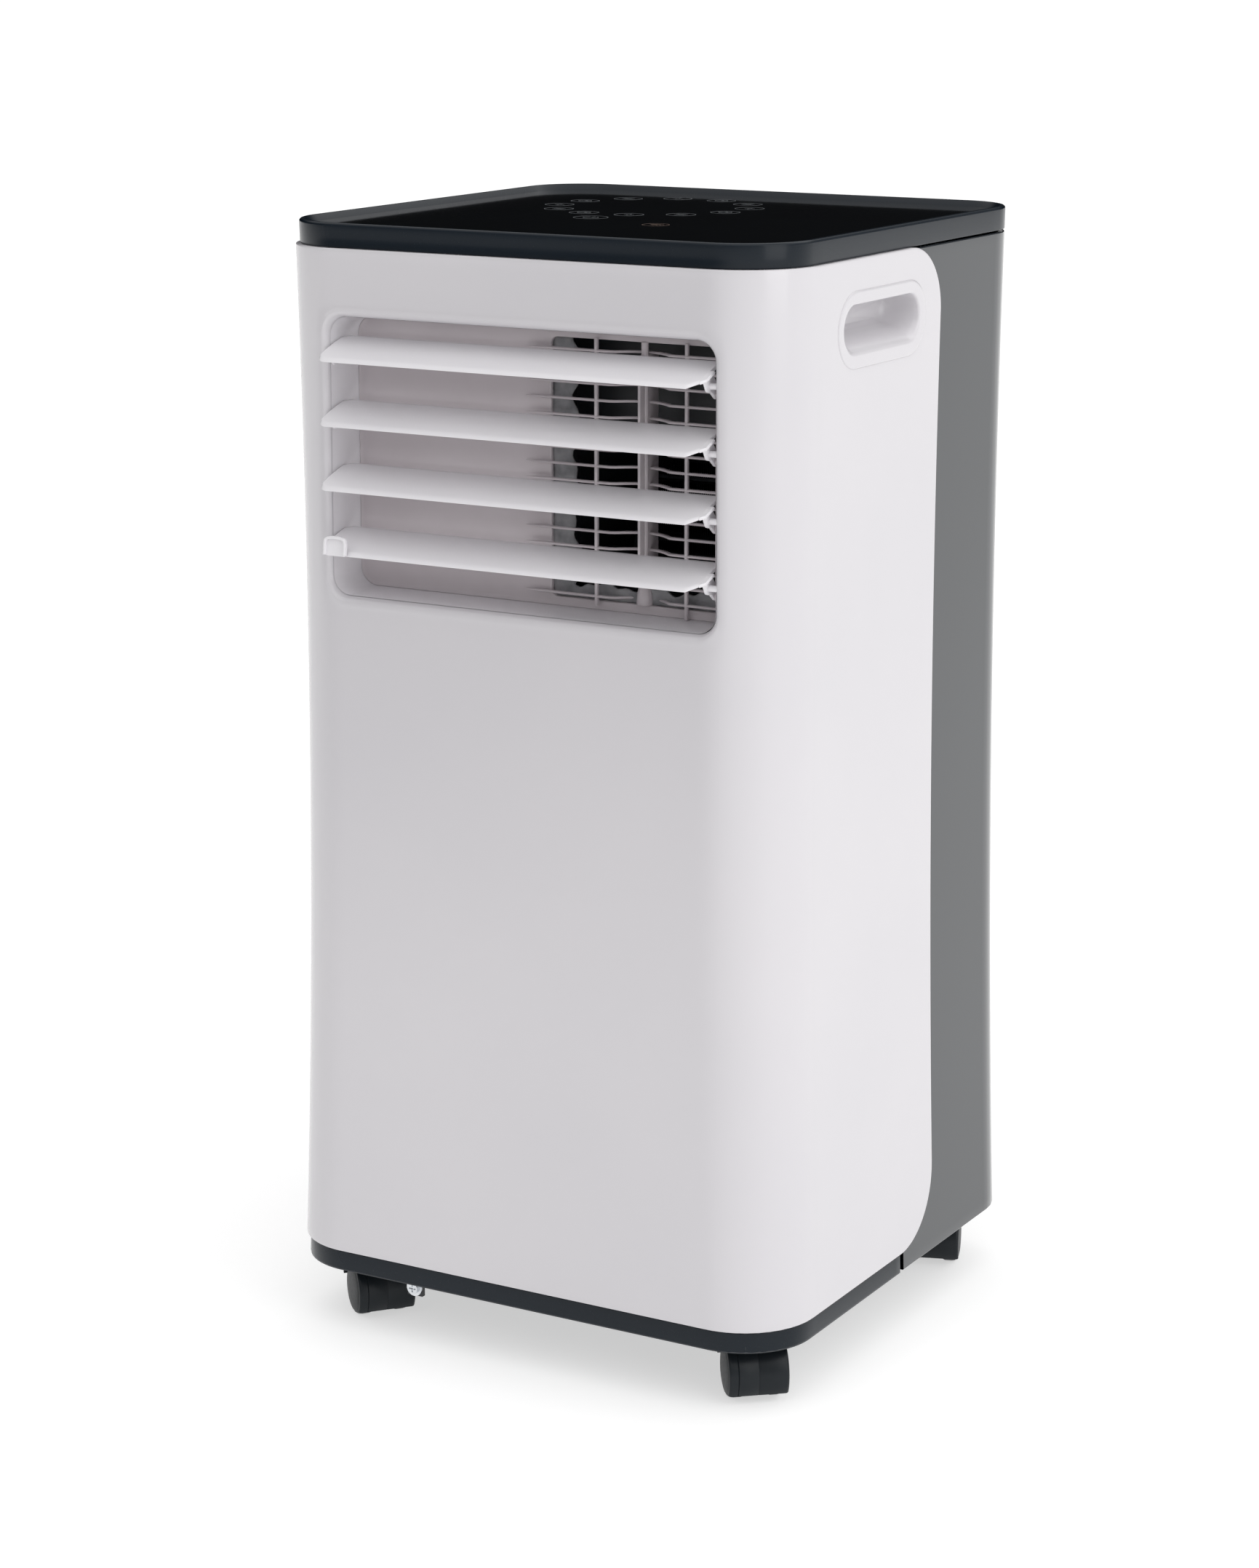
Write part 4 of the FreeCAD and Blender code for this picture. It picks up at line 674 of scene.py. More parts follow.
def cup_holes():
    """The stadium-shaped holes for the hand recesses, one in each side."""
    middle = (front_s(CUP_FRONT) + front_s(CUP_BACK)) / 2
    half = (front_s(CUP_BACK) - front_s(CUP_FRONT)) / 2 + 0.9
    return [Hole(side * middle, CUP_HEIGHT, half, 23.4, 23.4, lip=0.8, wall=2.6, spread=9.0, steps=9)
            for side in (-1, 1)]


def build_front_panel():
    """The white wrap-round panel with its outlet opening and two handle holes."""
    c = cabinet()
    reach = front_s(45.0)
    part = plate(
        lambda s, z, depth: skin(s, z, depth), (-reach, reach), (mm(c.panel_low), mm(c.panel_high)),
        (48.0, 48.0, 42.0, 42.0), [outlet_hole(), *cup_holes()], lip=0.9, wall=3.4, step=5.5,
        extra=(-SIDE_START, -TURN_END, -FRONT_STRAIGHT, FRONT_STRAIGHT, TURN_END, SIDE_START))
    make_piece("panel_skin", part, "cabinet", look("white"), ("front_panel",))


# ---------------------------------------------------------------- housing, lid, base

def build_rear_housing():
    """The slate rear half of the cabinet with its filter windows and ports."""
    c = cabinet()
    reach = rear_s(-3.0)
    proud = mm(c.proud)
    holes = [
        Hole(0.0, 520.0, 113.0, 121.0, 6.0, lip=1.2, wall=9.0, spread=5.0, steps=4),
        Hole(-77.0, 211.0, 64.0, 116.0, 6.0, lip=1.2, wall=9.0, spread=5.0, steps=4),
        Hole(64.0, 250.0, 66.0, 66.0, 66.0, lip=0.8, wall=6.0, spread=6.0, steps=16),
        Hole(60.0, 366.0, 10.5, 10.5, 10.5, lip=0.6, wall=5.0, spread=3.0, steps=5),
        Hole(60.0, 66.0, 10.5, 10.5, 10.5, lip=0.6, wall=5.0, spread=3.0, steps=5),
        Hole(120.0, 130.0, 9.0, 9.0, 9.0, lip=0.6, wall=5.0, spread=3.0, steps=5),
    ]

    def hidden(s, z):
        far = np.abs(s)
        behind_panel = (far > rear_s(26.0)) & (z > 610) & (z < 675)
        below_panel = (far > rear_s(6.0)) & (z < 53.5)
        return behind_panel | below_panel

    part = plate(
        lambda s, z, depth: skin(s, z, depth, rear=True, proud=proud), (-reach, reach),
        (mm(c.low) + 0.1, 687.0), (0, 0, 0, 0), holes, lip=0.8, wall=3.0, step=7.0, drop=hidden,
        extra=(-rear_s(6.0), -SIDE_START, -TURN_END, -FRONT_STRAIGHT, FRONT_STRAIGHT, TURN_END,
               SIDE_START, rear_s(6.0)))
    points, faces = part
    make_piece("housing_skin", (points, faces[:, ::-1]), "cabinet", look("slate"),
               ("rear_housing",))


def build_top_lid():
    """The slate lid: upright rim, rounded edge, and a tray that slopes down to the glass."""
    proud = mm(cabinet().proud)
    turn = np.linspace(0, math.pi / 2, 6)
    edge = 1.9
    rim = [(edge - edge * math.cos(a), 703.0 - edge + edge * math.sin(a)) for a in turn]
    profile = [(4.0, 688.2), (0.35, 688.2), (0.1, 688.35), (0.0, 688.7), (0.0, 694.0)]
    profile += rim + [(3.0, 703.0), (3.5, 702.8), (5.9, 697.6), (6.4, 697.2), (7.5, 697.05)]
    rings = [form_ring(k + proud, z, back_inset=k) for k, z in profile]
    part = loft(rings, cap_end=True, flip=True)
    make_piece("lid_skin", part, "cabinet", look("navy"), ("top_lid",), sharp=50.0)


def build_touch_panel():
    """The black glass set in the lid's tray."""
    proud = mm(cabinet().proud)
    profile = [(6.6, 697.1), (6.5, 698.6), (6.6, 699.1), (6.9, 699.4), (7.4, 699.5), (9.0, 699.5)]
    rings = [form_ring(k + proud, z, back_inset=k) for k, z in profile]
    part = loft(rings, cap_end=True, flip=True)
    make_piece("glass_skin", part, "cabinet", look("black_glass"), ("touch_panel",))


def flat_ring(x, y, outer, inner, z, start=0.0, end=360.0, count=48):
    """A thin printed ring or arc with a little thickness."""
    turn = np.radians(np.linspace(start, end, count))
    path = np.column_stack([x + (outer + inner) / 2 * np.cos(turn),
                            y + (outer + inner) / 2 * np.sin(turn), np.full(count, z)])
    outline = np.array([(-1, -1), (1, -1), (1, 1), (-1, 1)]) * [(outer - inner) / 2, 0.03]
    whole = end - start >= 359.9
    return sweep(path[:-1] if whole else path, outline, closed=whole)


def flat_bar(x0, y0, x1, y1, width, z):
    """A thin printed stroke from one point to another."""
    path = np.linspace((x0, y0, z), (x1, y1, z), 3)
    outline = np.array([(-1, -1), (1, -1), (1, 1), (-1, 1)]) * [width / 2, 0.03]
    return sweep(path, outline)


def build_key_prints():
    """The ring of touch keys: thin circles, each with a plain sign inside."""
    z, line = PRINT_Z, 0.36
    ring, middle_x, middle_y = 63.0, -38.0, 64.0
    power_x, power_y = -32.5, -25.7
    parts = []
    for key in range(12):
        a = math.radians(-75 + key * 30)
        x, y = middle_x + ring * math.cos(a), middle_y + ring * math.sin(a)
        parts.append(flat_ring(x, y, 9.5, 9.5 - line, z))
        kind = key % 3
        if kind == 0:
            parts.append(flat_bar(x - 3.6, y, x + 3.6, y, line, z))
            parts.append(flat_bar(x, y - 3.6, x, y + 3.6, line, z))
        elif kind == 1:
            parts += [flat_bar(x - 3.6, y + dy, x + 3.6, y + dy, line, z) for dy in (-2.4, 0, 2.4)]
        else:
            parts.append(flat_ring(x, y, 4.4, 4.4 - line, z))
            parts.append(flat_bar(x, y, x, y + 3.2, line, z))
            parts.append(flat_bar(x, y, x + 2.4, y, line, z))
    parts.append(flat_ring(power_x, power_y, 11.0, 11.0 - line, z))
    parts.append(flat_ring(power_x, power_y, 5.0, 5.0 - line, z, 120, 420, 28))
    parts.append(flat_bar(power_x, power_y + 1.2, power_x, power_y + 6.1, line, z))
    make_piece("key_prints", joined(parts), "cabinet", look("print"))
    eye_x, eye_y = 28.1, -51.1
    lower = [flat_ring(eye_x, eye_y, 8.5, 8.5 - line, z)]
    lower += [flat_ring(eye_x, eye_y - 3.5, r, r - 0.5, z, 45, 135, 14) for r in (3.0, 5.2, 7.2)]
    make_piece("receiver_print", joined(lower), "cabinet", look("warm_print"))


def build_base_band():
    """The slate band round the foot, and the narrow gap before the rear housing."""
    c = cabinet()
    reach = front_s(1.0)
    proud = mm(c.proud) - 0.15
    part = plate(
        lambda s, z, depth: skin(s, z, depth, proud=proud), (-reach, reach),
        (mm(c.low) + 0.1, mm(c.panel_low) - 0.3), (0, 0, 0, 0), lip=0.9, wall=2.2, step=6.0,
        extra=(-SIDE_START, -TURN_END, -FRONT_STRAIGHT, FRONT_STRAIGHT, TURN_END, SIDE_START))
    make_piece("base_band", part, "cabinet", look("navy"))


# ---------------------------------------------------------------- handle cups

def stadium(half_length, radius, count=24, straight=16):
    """A stadium's outline in (along, up), anticlockwise from the lower right end."""
    turn = np.linspace(-math.pi / 2, math.pi / 2, count)
    right = np.stack([half_length - radius + radius * np.cos(turn), radius * np.sin(turn)], -1)
    left = -right
    share = np.linspace(0, 1, straight + 1)[1:-1, None]
    top = right[-1] * (1 - share) + left[0] * share
    bottom = left[-1] * (1 - share) + right[0] * share
    return np.concatenate([right, top, left, bottom])


def build_handle_cups():
    """White stadium cups let into both sides, their lower lip a wide slope."""
    middle_y, middle_z = (CUP_FRONT + CUP_BACK) / 2, CUP_HEIGHT
    half, radius = (CUP_BACK - CUP_FRONT) / 2, 22.5
    profile = [
        # inset at top and ends, inset at the bottom, depth below the side
        (-0.75, -0.75, 2.6), (-0.75, -0.75, 0.3), (-0.45, -0.45, -0.25), (0.0, 0.0, -0.5),
        (1.2, 1.2, -0.55), (6.2, 6.8, -0.15), (7.0, 8.0, 0.0), (7.6, 9.0, 0.5),
        (8.0, 10.2, 1.6), (8.3, 12.5, 4.5),
        (8.6, 15.0, 9.0), (9.0, 17.0, 15.0), (10.0, 18.4, 21.0), (12.2, 19.6, 24.0), (15.5, 21.0, 25.4),
    ]
    rings = []
    for upper, lower, depth in profile:
        average = (upper + lower) / 2
        ring = stadium(half - upper, radius - average)
        along, up = ring[:, 0], ring[:, 1] + (lower - upper) / 2
        z = middle_z + up
        x = half_width(np.full_like(z, middle_z)) - depth
        x = x + (half_width(z) - half_width(np.full_like(z, middle_z))) * np.clip(1 - depth / 8, 0, 1)
        rings.append(np.column_stack([x, middle_y + along, z]))
    points, faces = loft(rings, cap_end=True, flip=True)
    for name, part in (("right", (points, faces)), ("left", mirrored_x((points, faces)))):
        make_piece(f"cup_skin_{name}", part, "cabinet", look("white"), (f"handle_cup_{name}",))


# ---------------------------------------------------------------- air outlet

def build_outlet_recess():
    """The tapering box behind the opening, with its window for the blower."""
    o = outlet()
    low, high = mm(o.low), mm(o.high)
    half = mm(o.half_width)
    front_y, back_y = -166.0, -138.0
    middle = (low + high) / 2
    half_z = (high - low) / 2
    steps = np.linspace(0, 1, 7)
    rings = []
    for share in steps:
        ring = round_outline(half - 0.1 - 1.5 * share, half_z - 0.1 - 1.6 * share, 12.0, 8)
        y = front_y + (back_y - front_y) * share
        rings.append(np.column_stack([ring[:, 0], np.full(len(ring), y), ring[:, 1] + middle]))
    for inset, dy in ((0.5, 0.9), (1.4, 1.3), (3.0, 1.4)):
        ring = round_outline(half - 1.6 - inset, half_z - 1.7 - inset, 12.0 - inset, 8)
        level = np.full(len(ring), back_y - 1.4 + dy)
        rings.append(np.column_stack([ring[:, 0], level, ring[:, 1] + middle]))
    walls = loft(rings[:7])
    fillet = loft(rings[6:])
    window = Hole(66.0, 561.0, 61.0, 79.0, 5.0, lip=0.8, wall=2.6, spread=1.4, steps=4)

    def wall(x, z, depth):
        return np.stack([x, back_y + depth, z], axis=-1)

    back = plate(wall, (-half + 4.0, half - 4.0), (low + 4.2, high - 4.2), (9, 9, 9, 9), [window],
                 lip=0.02, wall=0.03, step=8.0)
    # the outlet's side walls take the brighter white: painted light
    make_piece("outlet_walls", walls, "cabinet", look("white_painted_light"), ("outlet_duct",))
    # the back wall and its fillet take the darker white: painted shade
    make_piece("outlet_back", joined([fillet, back]), "cabinet", look("white_inner"))


def build_grille():
    """Sixteen level bars whose left ends are tapering fingers, and two posts."""
    count, first, pitch = 16, 486.0, 9.8
    x = np.concatenate([
        np.linspace(-10, 48, 24), np.linspace(50, 90, 29)[1:-1], np.linspace(91, 129.5, 14)])
    y = -141.2 + np.clip(9.5 * (1 - ((x - VANE_X) / 19.5) ** 2), 0, None)
    path = np.column_stack([x, y, np.full(len(x), 0.0)])
    thick = np.clip((x + 10.5) / 9.0, 0.12, 1) ** 0.7
    outline = round_outline(1.5, 0.75, 0.5, 1)
    bar = sweep(path, outline, scale=np.column_stack([thick, thick]))
    bars = copies(bar, [(0, 0, first + pitch * row) for row in range(count)])
    posts = [
        box_part((37.9, -142.6, 480.0), (40.1, -139.8, 641.0), 0.8),
        box_part((98.9, -142.6, 477.0), (101.1, -139.8, 641.0), 0.8),
    ]
    # the grille bars take the darker white: painted shade
    make_piece("grille_bars", joined([bars, *posts]), "cabinet", look("white_inner"),
               ("outlet_grille",))


def build_foam():
    """A strip of grey foam along the window's left edge and foot, its edge uneven."""
    z = np.linspace(484, 639, 60)
    wobble = 2.2 * np.sin(z / 6.1) + 1.4 * np.sin(z / 2.7 + 1)
    across = np.linspace(0, 1, 6)
    x = 5.5 + (16.0 + wobble)[:, None] * across[None, :]
    y = -134.5 + 1.2 * (across[None, :] - 0.5) ** 2 * 4 + 0.5 * np.sin(z / 4.0)[:, None]
    upright = sheet_of(np.stack([x, y, np.broadcast_to(z[:, None], x.shape)], -1))
    run = np.linspace(6, 126, 50)
    rise = 8.5 + 1.6 * np.sin(run / 5.3) + 1.1 * np.sin(run / 2.1)
    z_low = 483.0 + rise[:, None] * across[None, :]
    y_low = -133.8 + 0.6 * np.sin(run / 3.0)[:, None] + 0 * z_low
    level = sheet_of(np.stack([np.broadcast_to(run[:, None], z_low.shape), y_low, z_low], -1), flip=True)
    piece = make_piece("foam_strip", joined([upright, level]), "cabinet", look("foam"),
                       ("duct_foam",))
    thick = piece.modifiers.new("thickness", "SOLIDIFY")
    thick.thickness = 2.0 * MM
    thick.offset = -1.0


def blade_section(x, front, back, centre_z, tilt, thickness=2.0, rise=6.5, camber=1.2):
    """One blade's outline at x, between its front and back distances from the pivot."""
    count = 17
    share = np.concatenate([np.linspace(0, 1, count), np.linspace(1, 0, count)[1:-1]])
    over = np.concatenate([np.ones(count), -np.ones(count - 2)])
    reach = (front - back) * share + back
    bow = camber * (1 - ((reach - 0.5) / 18.5) ** 2)
    edge = np.minimum(reach - back, front - reach)
    thin = np.sqrt(np.clip(1 - np.clip(1 - edge / 0.9, 0, 1) ** 2, 0, 1))
    height = rise + bow + over * thickness / 2 * thin
    c, s = math.cos(tilt), math.sin(tilt)
    y = PIVOT_Y - reach * c - height * s
    z = centre_z - reach * s + height * c
    return np.stack([np.full_like(y, x), y, z], axis=-1)


def build_blades():
    """Four bowed blades: round left front corner, cut left back and right front corners.

    Each is a row of outlines from blade_section along x; right of 128.5 only the front stays.
    """
    o = outlet()
    pitch = mm(o.blade_pitch)
    tilt = o.blade_tilt
    x = np.concatenate([
        -131.5 + 6 * (1 - np.cos(np.linspace(0, math.pi / 2, 8))), np.linspace(-120, 118, 24),
        np.linspace(121, 127.4, 5), [127.9, 128.4, 128.6, 131.0, 131.4]])
    for row in range(4):
        centre_z = TOP_PIVOT_Z - pitch * row
        rings = []
        for place in x:
            left = max(0.0, -125.5 - place)
            front = 18.0 - (6 - math.sqrt(max(36 - left ** 2, 0)))
            if place > 122.5:
                front = 18.0 - (place - 122.5)
            back = -19.0 + max(0.0, -127.5 - place)
            if place > 128.5:
                back = -3.0
            rings.append(blade_section(place, front, back, centre_z, tilt))
        blade = loft(rings, cap_start=True, cap_end=True)
        prong = lever_part(centre_z, tilt)
        # the blades take the brighter white: painted light on their up-facing sides
        make_piece(f"blade_{row + 1}", joined([blade, prong]), f"louver_blade_{row + 1}",
                   look("white_painted_light"), (f"louver_blade_{row + 1}",))


def side_plate(outline, x0, x1):
    """A plate whose outline is given in (y, z), from one x to another, its edges softened."""
    outline = np.asarray(outline, float)
    middle = outline.mean(0)
    rings = []
    for x, size in ((x0, 0.86), (x0 + 0.25, 1.0), (x1 - 0.25, 1.0), (x1, 0.86)):
        shape = middle + (outline - middle) * size
        rings.append(np.column_stack([np.full(len(shape), x), shape]))
    return loft(rings, cap_start=True, cap_end=True)


def arc_points(y, z, radius, start, end, count=9):
    """Points of an arc in the (y, z) plane, from one angle in degrees to another."""
    a = np.radians(np.linspace(start, end, count))
    return np.column_stack([y + radius * np.cos(a), z + radius * np.sin(a)])


def lever_part(centre_z, tilt):
    """The hooked plate under a blade's right end, from its pivot back to its crank pin."""
    y = PIVOT_Y
    hub = arc_points(y, centre_z, 4.0, 200, 290)
    eye = arc_points(y + CRANK_Y, centre_z + CRANK_Z, 3.6, -120, 60)
    c, s = math.cos(tilt), math.sin(tilt)
    top = [(y + 5.0 * c - 5.4 * s, centre_z + 5.0 * s + 5.4 * c),
           (y - 5.0 * c - 5.4 * s, centre_z - 5.0 * s + 5.4 * c)]
    plate_part = side_plate(np.concatenate([hub, eye, top]), 126.4, 128.5)
    pins = [
        lathe([0.01, 2.0, 2.0, 0.01], [128.0, 128.0, 137.0, 137.0], "x", (0, y, centre_z), 20),
        lathe([0.01, 2.0, 2.0, 0.01], [-137.0, -137.0, -131.0, -131.0], "x", (0, y, centre_z), 20),
        lathe([0.01, 2.0, 2.0, 1.6, 0.01], [128.0, 128.0, 131.4, 131.9, 131.9], "x",
              (0, y + CRANK_Y, centre_z + CRANK_Z), 20),
    ]
    left = side_plate(
        np.concatenate([arc_points(y, centre_z, 4.0, 180, 360), top]), -131.4, -129.6)
    return joined([plate_part, left, *pins])


def build_tab():
    """The small U-shaped finger tab on the lowest blade."""
    turn = np.linspace(math.pi, 0, 13)
    middle, wide = -119.0, 7.2
    rail = np.concatenate([
        [(-1.0, -6.2), (-1.0, -2.0), (-1.0, 1.2)],
        np.column_stack([np.cos(turn[1:-1]) * 1.0, 2.0 + 2.6 * np.sin(turn[1:-1]) ** 0.7]),
        [(1.0, 1.2), (1.0, -2.0), (1.0, -6.2)]])
    path = np.column_stack([
        middle + rail[:, 0] * wide, -184.6 + 0.12 * rail[:, 1], 509.6 + rail[:, 1]])
    rim = sweep(path, round_outline(0.9, 1.5, 0.6, 2), up=(0.0, 1.0, 0.0))
    grid_x = np.linspace(-1, 1, 9)
    grid_z = np.linspace(-1, 1, 9)
    gx, gz = np.meshgrid(grid_x, grid_z, indexing="ij")
    face = np.stack([middle + gx * (wide - 0.5), -184.1 + 0.4 * gz, 508.0 + gz * 5.2], -1)
    back = face + np.array([0.0, 1.4, 0.0])
    # the tab takes the brighter white: painted light
    make_piece("blade_tab", joined([rim, sheet_of(face), sheet_of(back, flip=True)]),
               "louver_blade_4", look("white_painted_light"), ("louver_tab",))


def build_vane():
    """The upright vane that swings the air sideways, on its tapered foot."""
    x, y = VANE_X, VANE_Y
    plate_part = box_part((x - 1.0, -144.4, 494.0), (x + 1.0, -122.0, 632.0), 0.7)
    pin = lathe([0.01, 2.2, 2.2, 0.01], [482.5, 482.5, 639.4, 639.4], "z", (x, y, 0), 20)
    boss = lathe([0.01, 4.9, 5.0, 4.6, 3.4, 2.2], [483.0, 483.0, 484.2, 489.5, 494.5, 496.0],
                 "z", (x, y, 0), 28)
    # the vane takes the darker white: painted shade
    make_piece("vane", joined([plate_part, pin, boss]), "vertical_vane", look("white_inner"),
               ("vertical_vane",))


# ---------------------------------------------------------------- casters

CASTERS = {
    "fr": (137.0, -125.4, 40.0), "fl": (-137.0, -125.4, 50.0),
    "rr": (137.0, 138.0, 20.0), "rl": (-137.0, 138.0, 30.0),
}


def hood_part(radius, half, trail):
    """An arched hood over the axle: a shell carried round it, a web below, and the neck."""
    shell = [
        (-half, radius + 1.0), (-half, radius + 2.3), (-half + 0.6, radius + 3.0),
        (-half + 1.8, radius + 3.3), (-half + 5.4, radius + 3.3), (-half + 5.8, radius + 2.9),
        (-half + 6.2, radius + 3.3), (-0.4, radius + 3.3), (0.0, radius + 3.0), (0.4, radius + 3.3),
        (half - 1.8, radius + 3.3), (half - 0.6, radius + 3.0), (half, radius + 2.3),
        (half, radius + 1.0), (half - 3, radius + 0.75), (-half + 3, radius + 0.75),
    ]
    shell = np.array(shell)
    low = math.degrees(math.asin((radius - 6.2) / (radius + 3.3)))
    a = np.radians(np.linspace(180 + low, 12, 40))
    rings = np.stack([
        np.broadcast_to(shell[None, :, 0], (len(a), len(shell))),
        -trail + shell[None, :, 1] * np.cos(a)[:, None],
        radius + shell[None, :, 1] * np.sin(a)[:, None]], axis=-1)
    arch = loft(rings, cap_start=True, cap_end=True)
    web = side_plate(
        np.concatenate([arc_points(-trail, radius, radius + 0.9, 12, 180 + low, 30),
                        [(-trail + 8.0, 6.4), (-trail + 14.0, 12.0)]]), -6.4, 6.4)
    neck = lathe([8.9, 8.9, 8.6, 0.01], [30.0, 39.0, 39.5, 39.5], "z", (0, 0, 0), 32)
    return joined([arch, web, neck])


def wheel_part(radius, trail):
    """Two wheels with a rounded tread and a domed outer side, on one axle."""
    outward = [7.3, 7.3, 7.9, 9.0, 13.4, 15.2, 16.6, 17.5, 18.1, 18.35, 18.4]
    size = [0.01, 15.4, 16.6, 17.0, 17.0, 16.7, 15.9, 14.4, 11.6, 6.0, 0.01]
    one = lathe(size, outward, "x", (0, -trail, radius), 48)
    axle = lathe([1.9, 1.9], [-8.0, 8.0], "x", (0, -trail, radius), 16)
    return joined([one, mirrored_x(one), axle])


def build_casters():
    """Four twin-wheel casters: an arched hood over two domed wheels."""
    radius, half, trail = 17.0, 18.5, 9.0
    hood, wheels = hood_part(radius, half, trail), wheel_part(radius, trail)
    for code, (x, y, heading) in CASTERS.items():
        for kind, shape, body, material, slot_name in (
                ("hood", hood, "caster_" + code, "caster_shade", "black_plastic"),
                ("wheels", wheels, "caster_roller_" + code, "tyre", "tyre")):
            points, faces = turned(shape, "z", heading, (0, 0, 0))
            make_piece(f"caster_{kind}_skin_{code}", (points + np.array([x, y, 0.0]), faces), body,
                       look(material), (f"caster_{kind}_{code}",), sharp=42.0)


# ---------------------------------------------------------------- back

def frame_ring(x0, x1, z0, z1, width, radius, y_low, y_high):
    """A flat rounded frame standing in the plane of the back."""
    middle_x, middle_z = (x0 + x1) / 2, (z0 + z1) / 2
    half_x, half_z = (x1 - x0) / 2, (z1 - z0) / 2
    section = [(0.0, y_low), (0.0, y_high - 1.0), (0.3, y_high - 0.3), (1.0, y_high),
               (width - 0.8, y_high), (width - 0.2, y_high - 0.4), (width, y_high - 1.2), (width, y_low)]
    rings = []
    for inset, y in section:
        ring = round_outline(half_x - inset, half_z - inset, max(radius - inset, 0.6), 5)
        level = np.full(len(ring), y)
        rings.append(np.column_stack([ring[:, 0] + middle_x, level, ring[:, 1] + middle_z]))
    rings.append(rings[0])
    return loft(rings)


def slat_bank(x0, x1, z0, z1, pitch, y_face):
    """Level slats that lean outward like a louver, and upright ribs between them."""
    leaning = np.array([(-2.6, -2.3), (2.2, 2.0), (2.2, 3.0), (1.4, 3.0), (-3.4, -1.6), (-3.4, -2.3)])
    ends = [np.column_stack([np.full(6, at), y_face - 3.0 + leaning[:, 0], leaning[:, 1]])
            for at in (x0, x1)]
    one = loft(ends, cap_start=True, cap_end=True)
    rows = np.arange(z0 + pitch * 0.6, z1 - pitch * 0.3, pitch)
    slats = copies(one, np.column_stack([0 * rows, 0 * rows, rows]))
    uprights = np.linspace(x0, x1, max(2, int(round((x1 - x0) / 37))) + 1)[1:-1]
    ribs = [box_part((at - 0.9, y_face - 6.2, z0), (at + 0.9, y_face - 0.9, z1), 0.5) for at in uprights]
    return joined([slats, *ribs])


def build_filters():
    """The two air filters: a frame, leaning slats, ribs, a finger notch and a fine net behind."""
    for name, x0, x1, z0, z1 in (
            ("upper", -111.4, 111.4, 400.6, 639.4), ("lower", -139.4, -14.6, 96.6, 325.4)):
        frame_part = frame_ring(x0, x1, z0, z1, 8.0, 5.0, 165.1, 172.7)
        bank = slat_bank(x0 + 7.5, x1 - 7.5, z0 + 7.5, z1 - 7.5, 8.2, 172.2)
        middle = (x0 + x1) / 2
        pull = box_part((middle - 14, 170.4, z1 - 14), (middle + 14, 172.6, z1 - 7), 0.8)
        body = name + "_filter"
        make_piece(name + "_filter_frame", joined([frame_part, bank, pull]), body, look("slate"),
                   (body,))
        grid_x = np.linspace(x0 + 6, x1 - 6, 5)
        grid_z = np.linspace(z0 + 6, z1 - 6, 5)
        gx, gz = np.meshgrid(grid_x, grid_z, indexing="ij")
        net = sheet_of(np.stack([gx, np.full_like(gx, 165.4), gz], -1), flip=True)
        make_piece(name + "_filter_net", net, body, look("net"))


# ---------------------------------------------------------------- CAD nodes kept as they are

def build_kept_nodes():
    """Detailed finishes for every CAD node that stays in view, by its material slot."""
    # The blower housing behind the outlet window is made near-black: painted shade of the dark interior.
    own = {
        "base_screw": "zinc", "housing_screws": "steel", "base_bracket": "black_plastic",
        "base_pan": "slate", "upper_blower_housing": "black_plastic",
    }
    slots = node_slots()
    for name, node in frame["nodes"].items():
        if node.hide_render:
            continue
        finish_name = own.get(name, slots.get(name, "grey_plastic"))
        node.data.materials.clear()
        node.data.materials.append(look(finish_name))


def node_slots():
    """The record's material slot of every node."""
    return {item["node"]: item["material_slot"] for item in frame["record"]["subparts"]}


# ---------------------------------------------------------------- stage

def aim(obj, target):
    """Turn an object so that its -Z axis points at the target."""
    away = Vector(target) - obj.location
    obj.rotation_euler = away.to_track_quat("-Z", "Y").to_euler()


def softbox(name, place, target, size, power):
    """A rectangular area light, in metres and watts, turned towards a target."""
    lamp = bpy.data.lights.new(name, "AREA")
    lamp.shape = "RECTANGLE"
    lamp.size, lamp.size_y = size
    lamp.energy = power
    item = bpy.data.objects.new(name, lamp)
    item.location = place
    bpy.context.scene.collection.objects.link(item)
    aim(item, target)
    return item


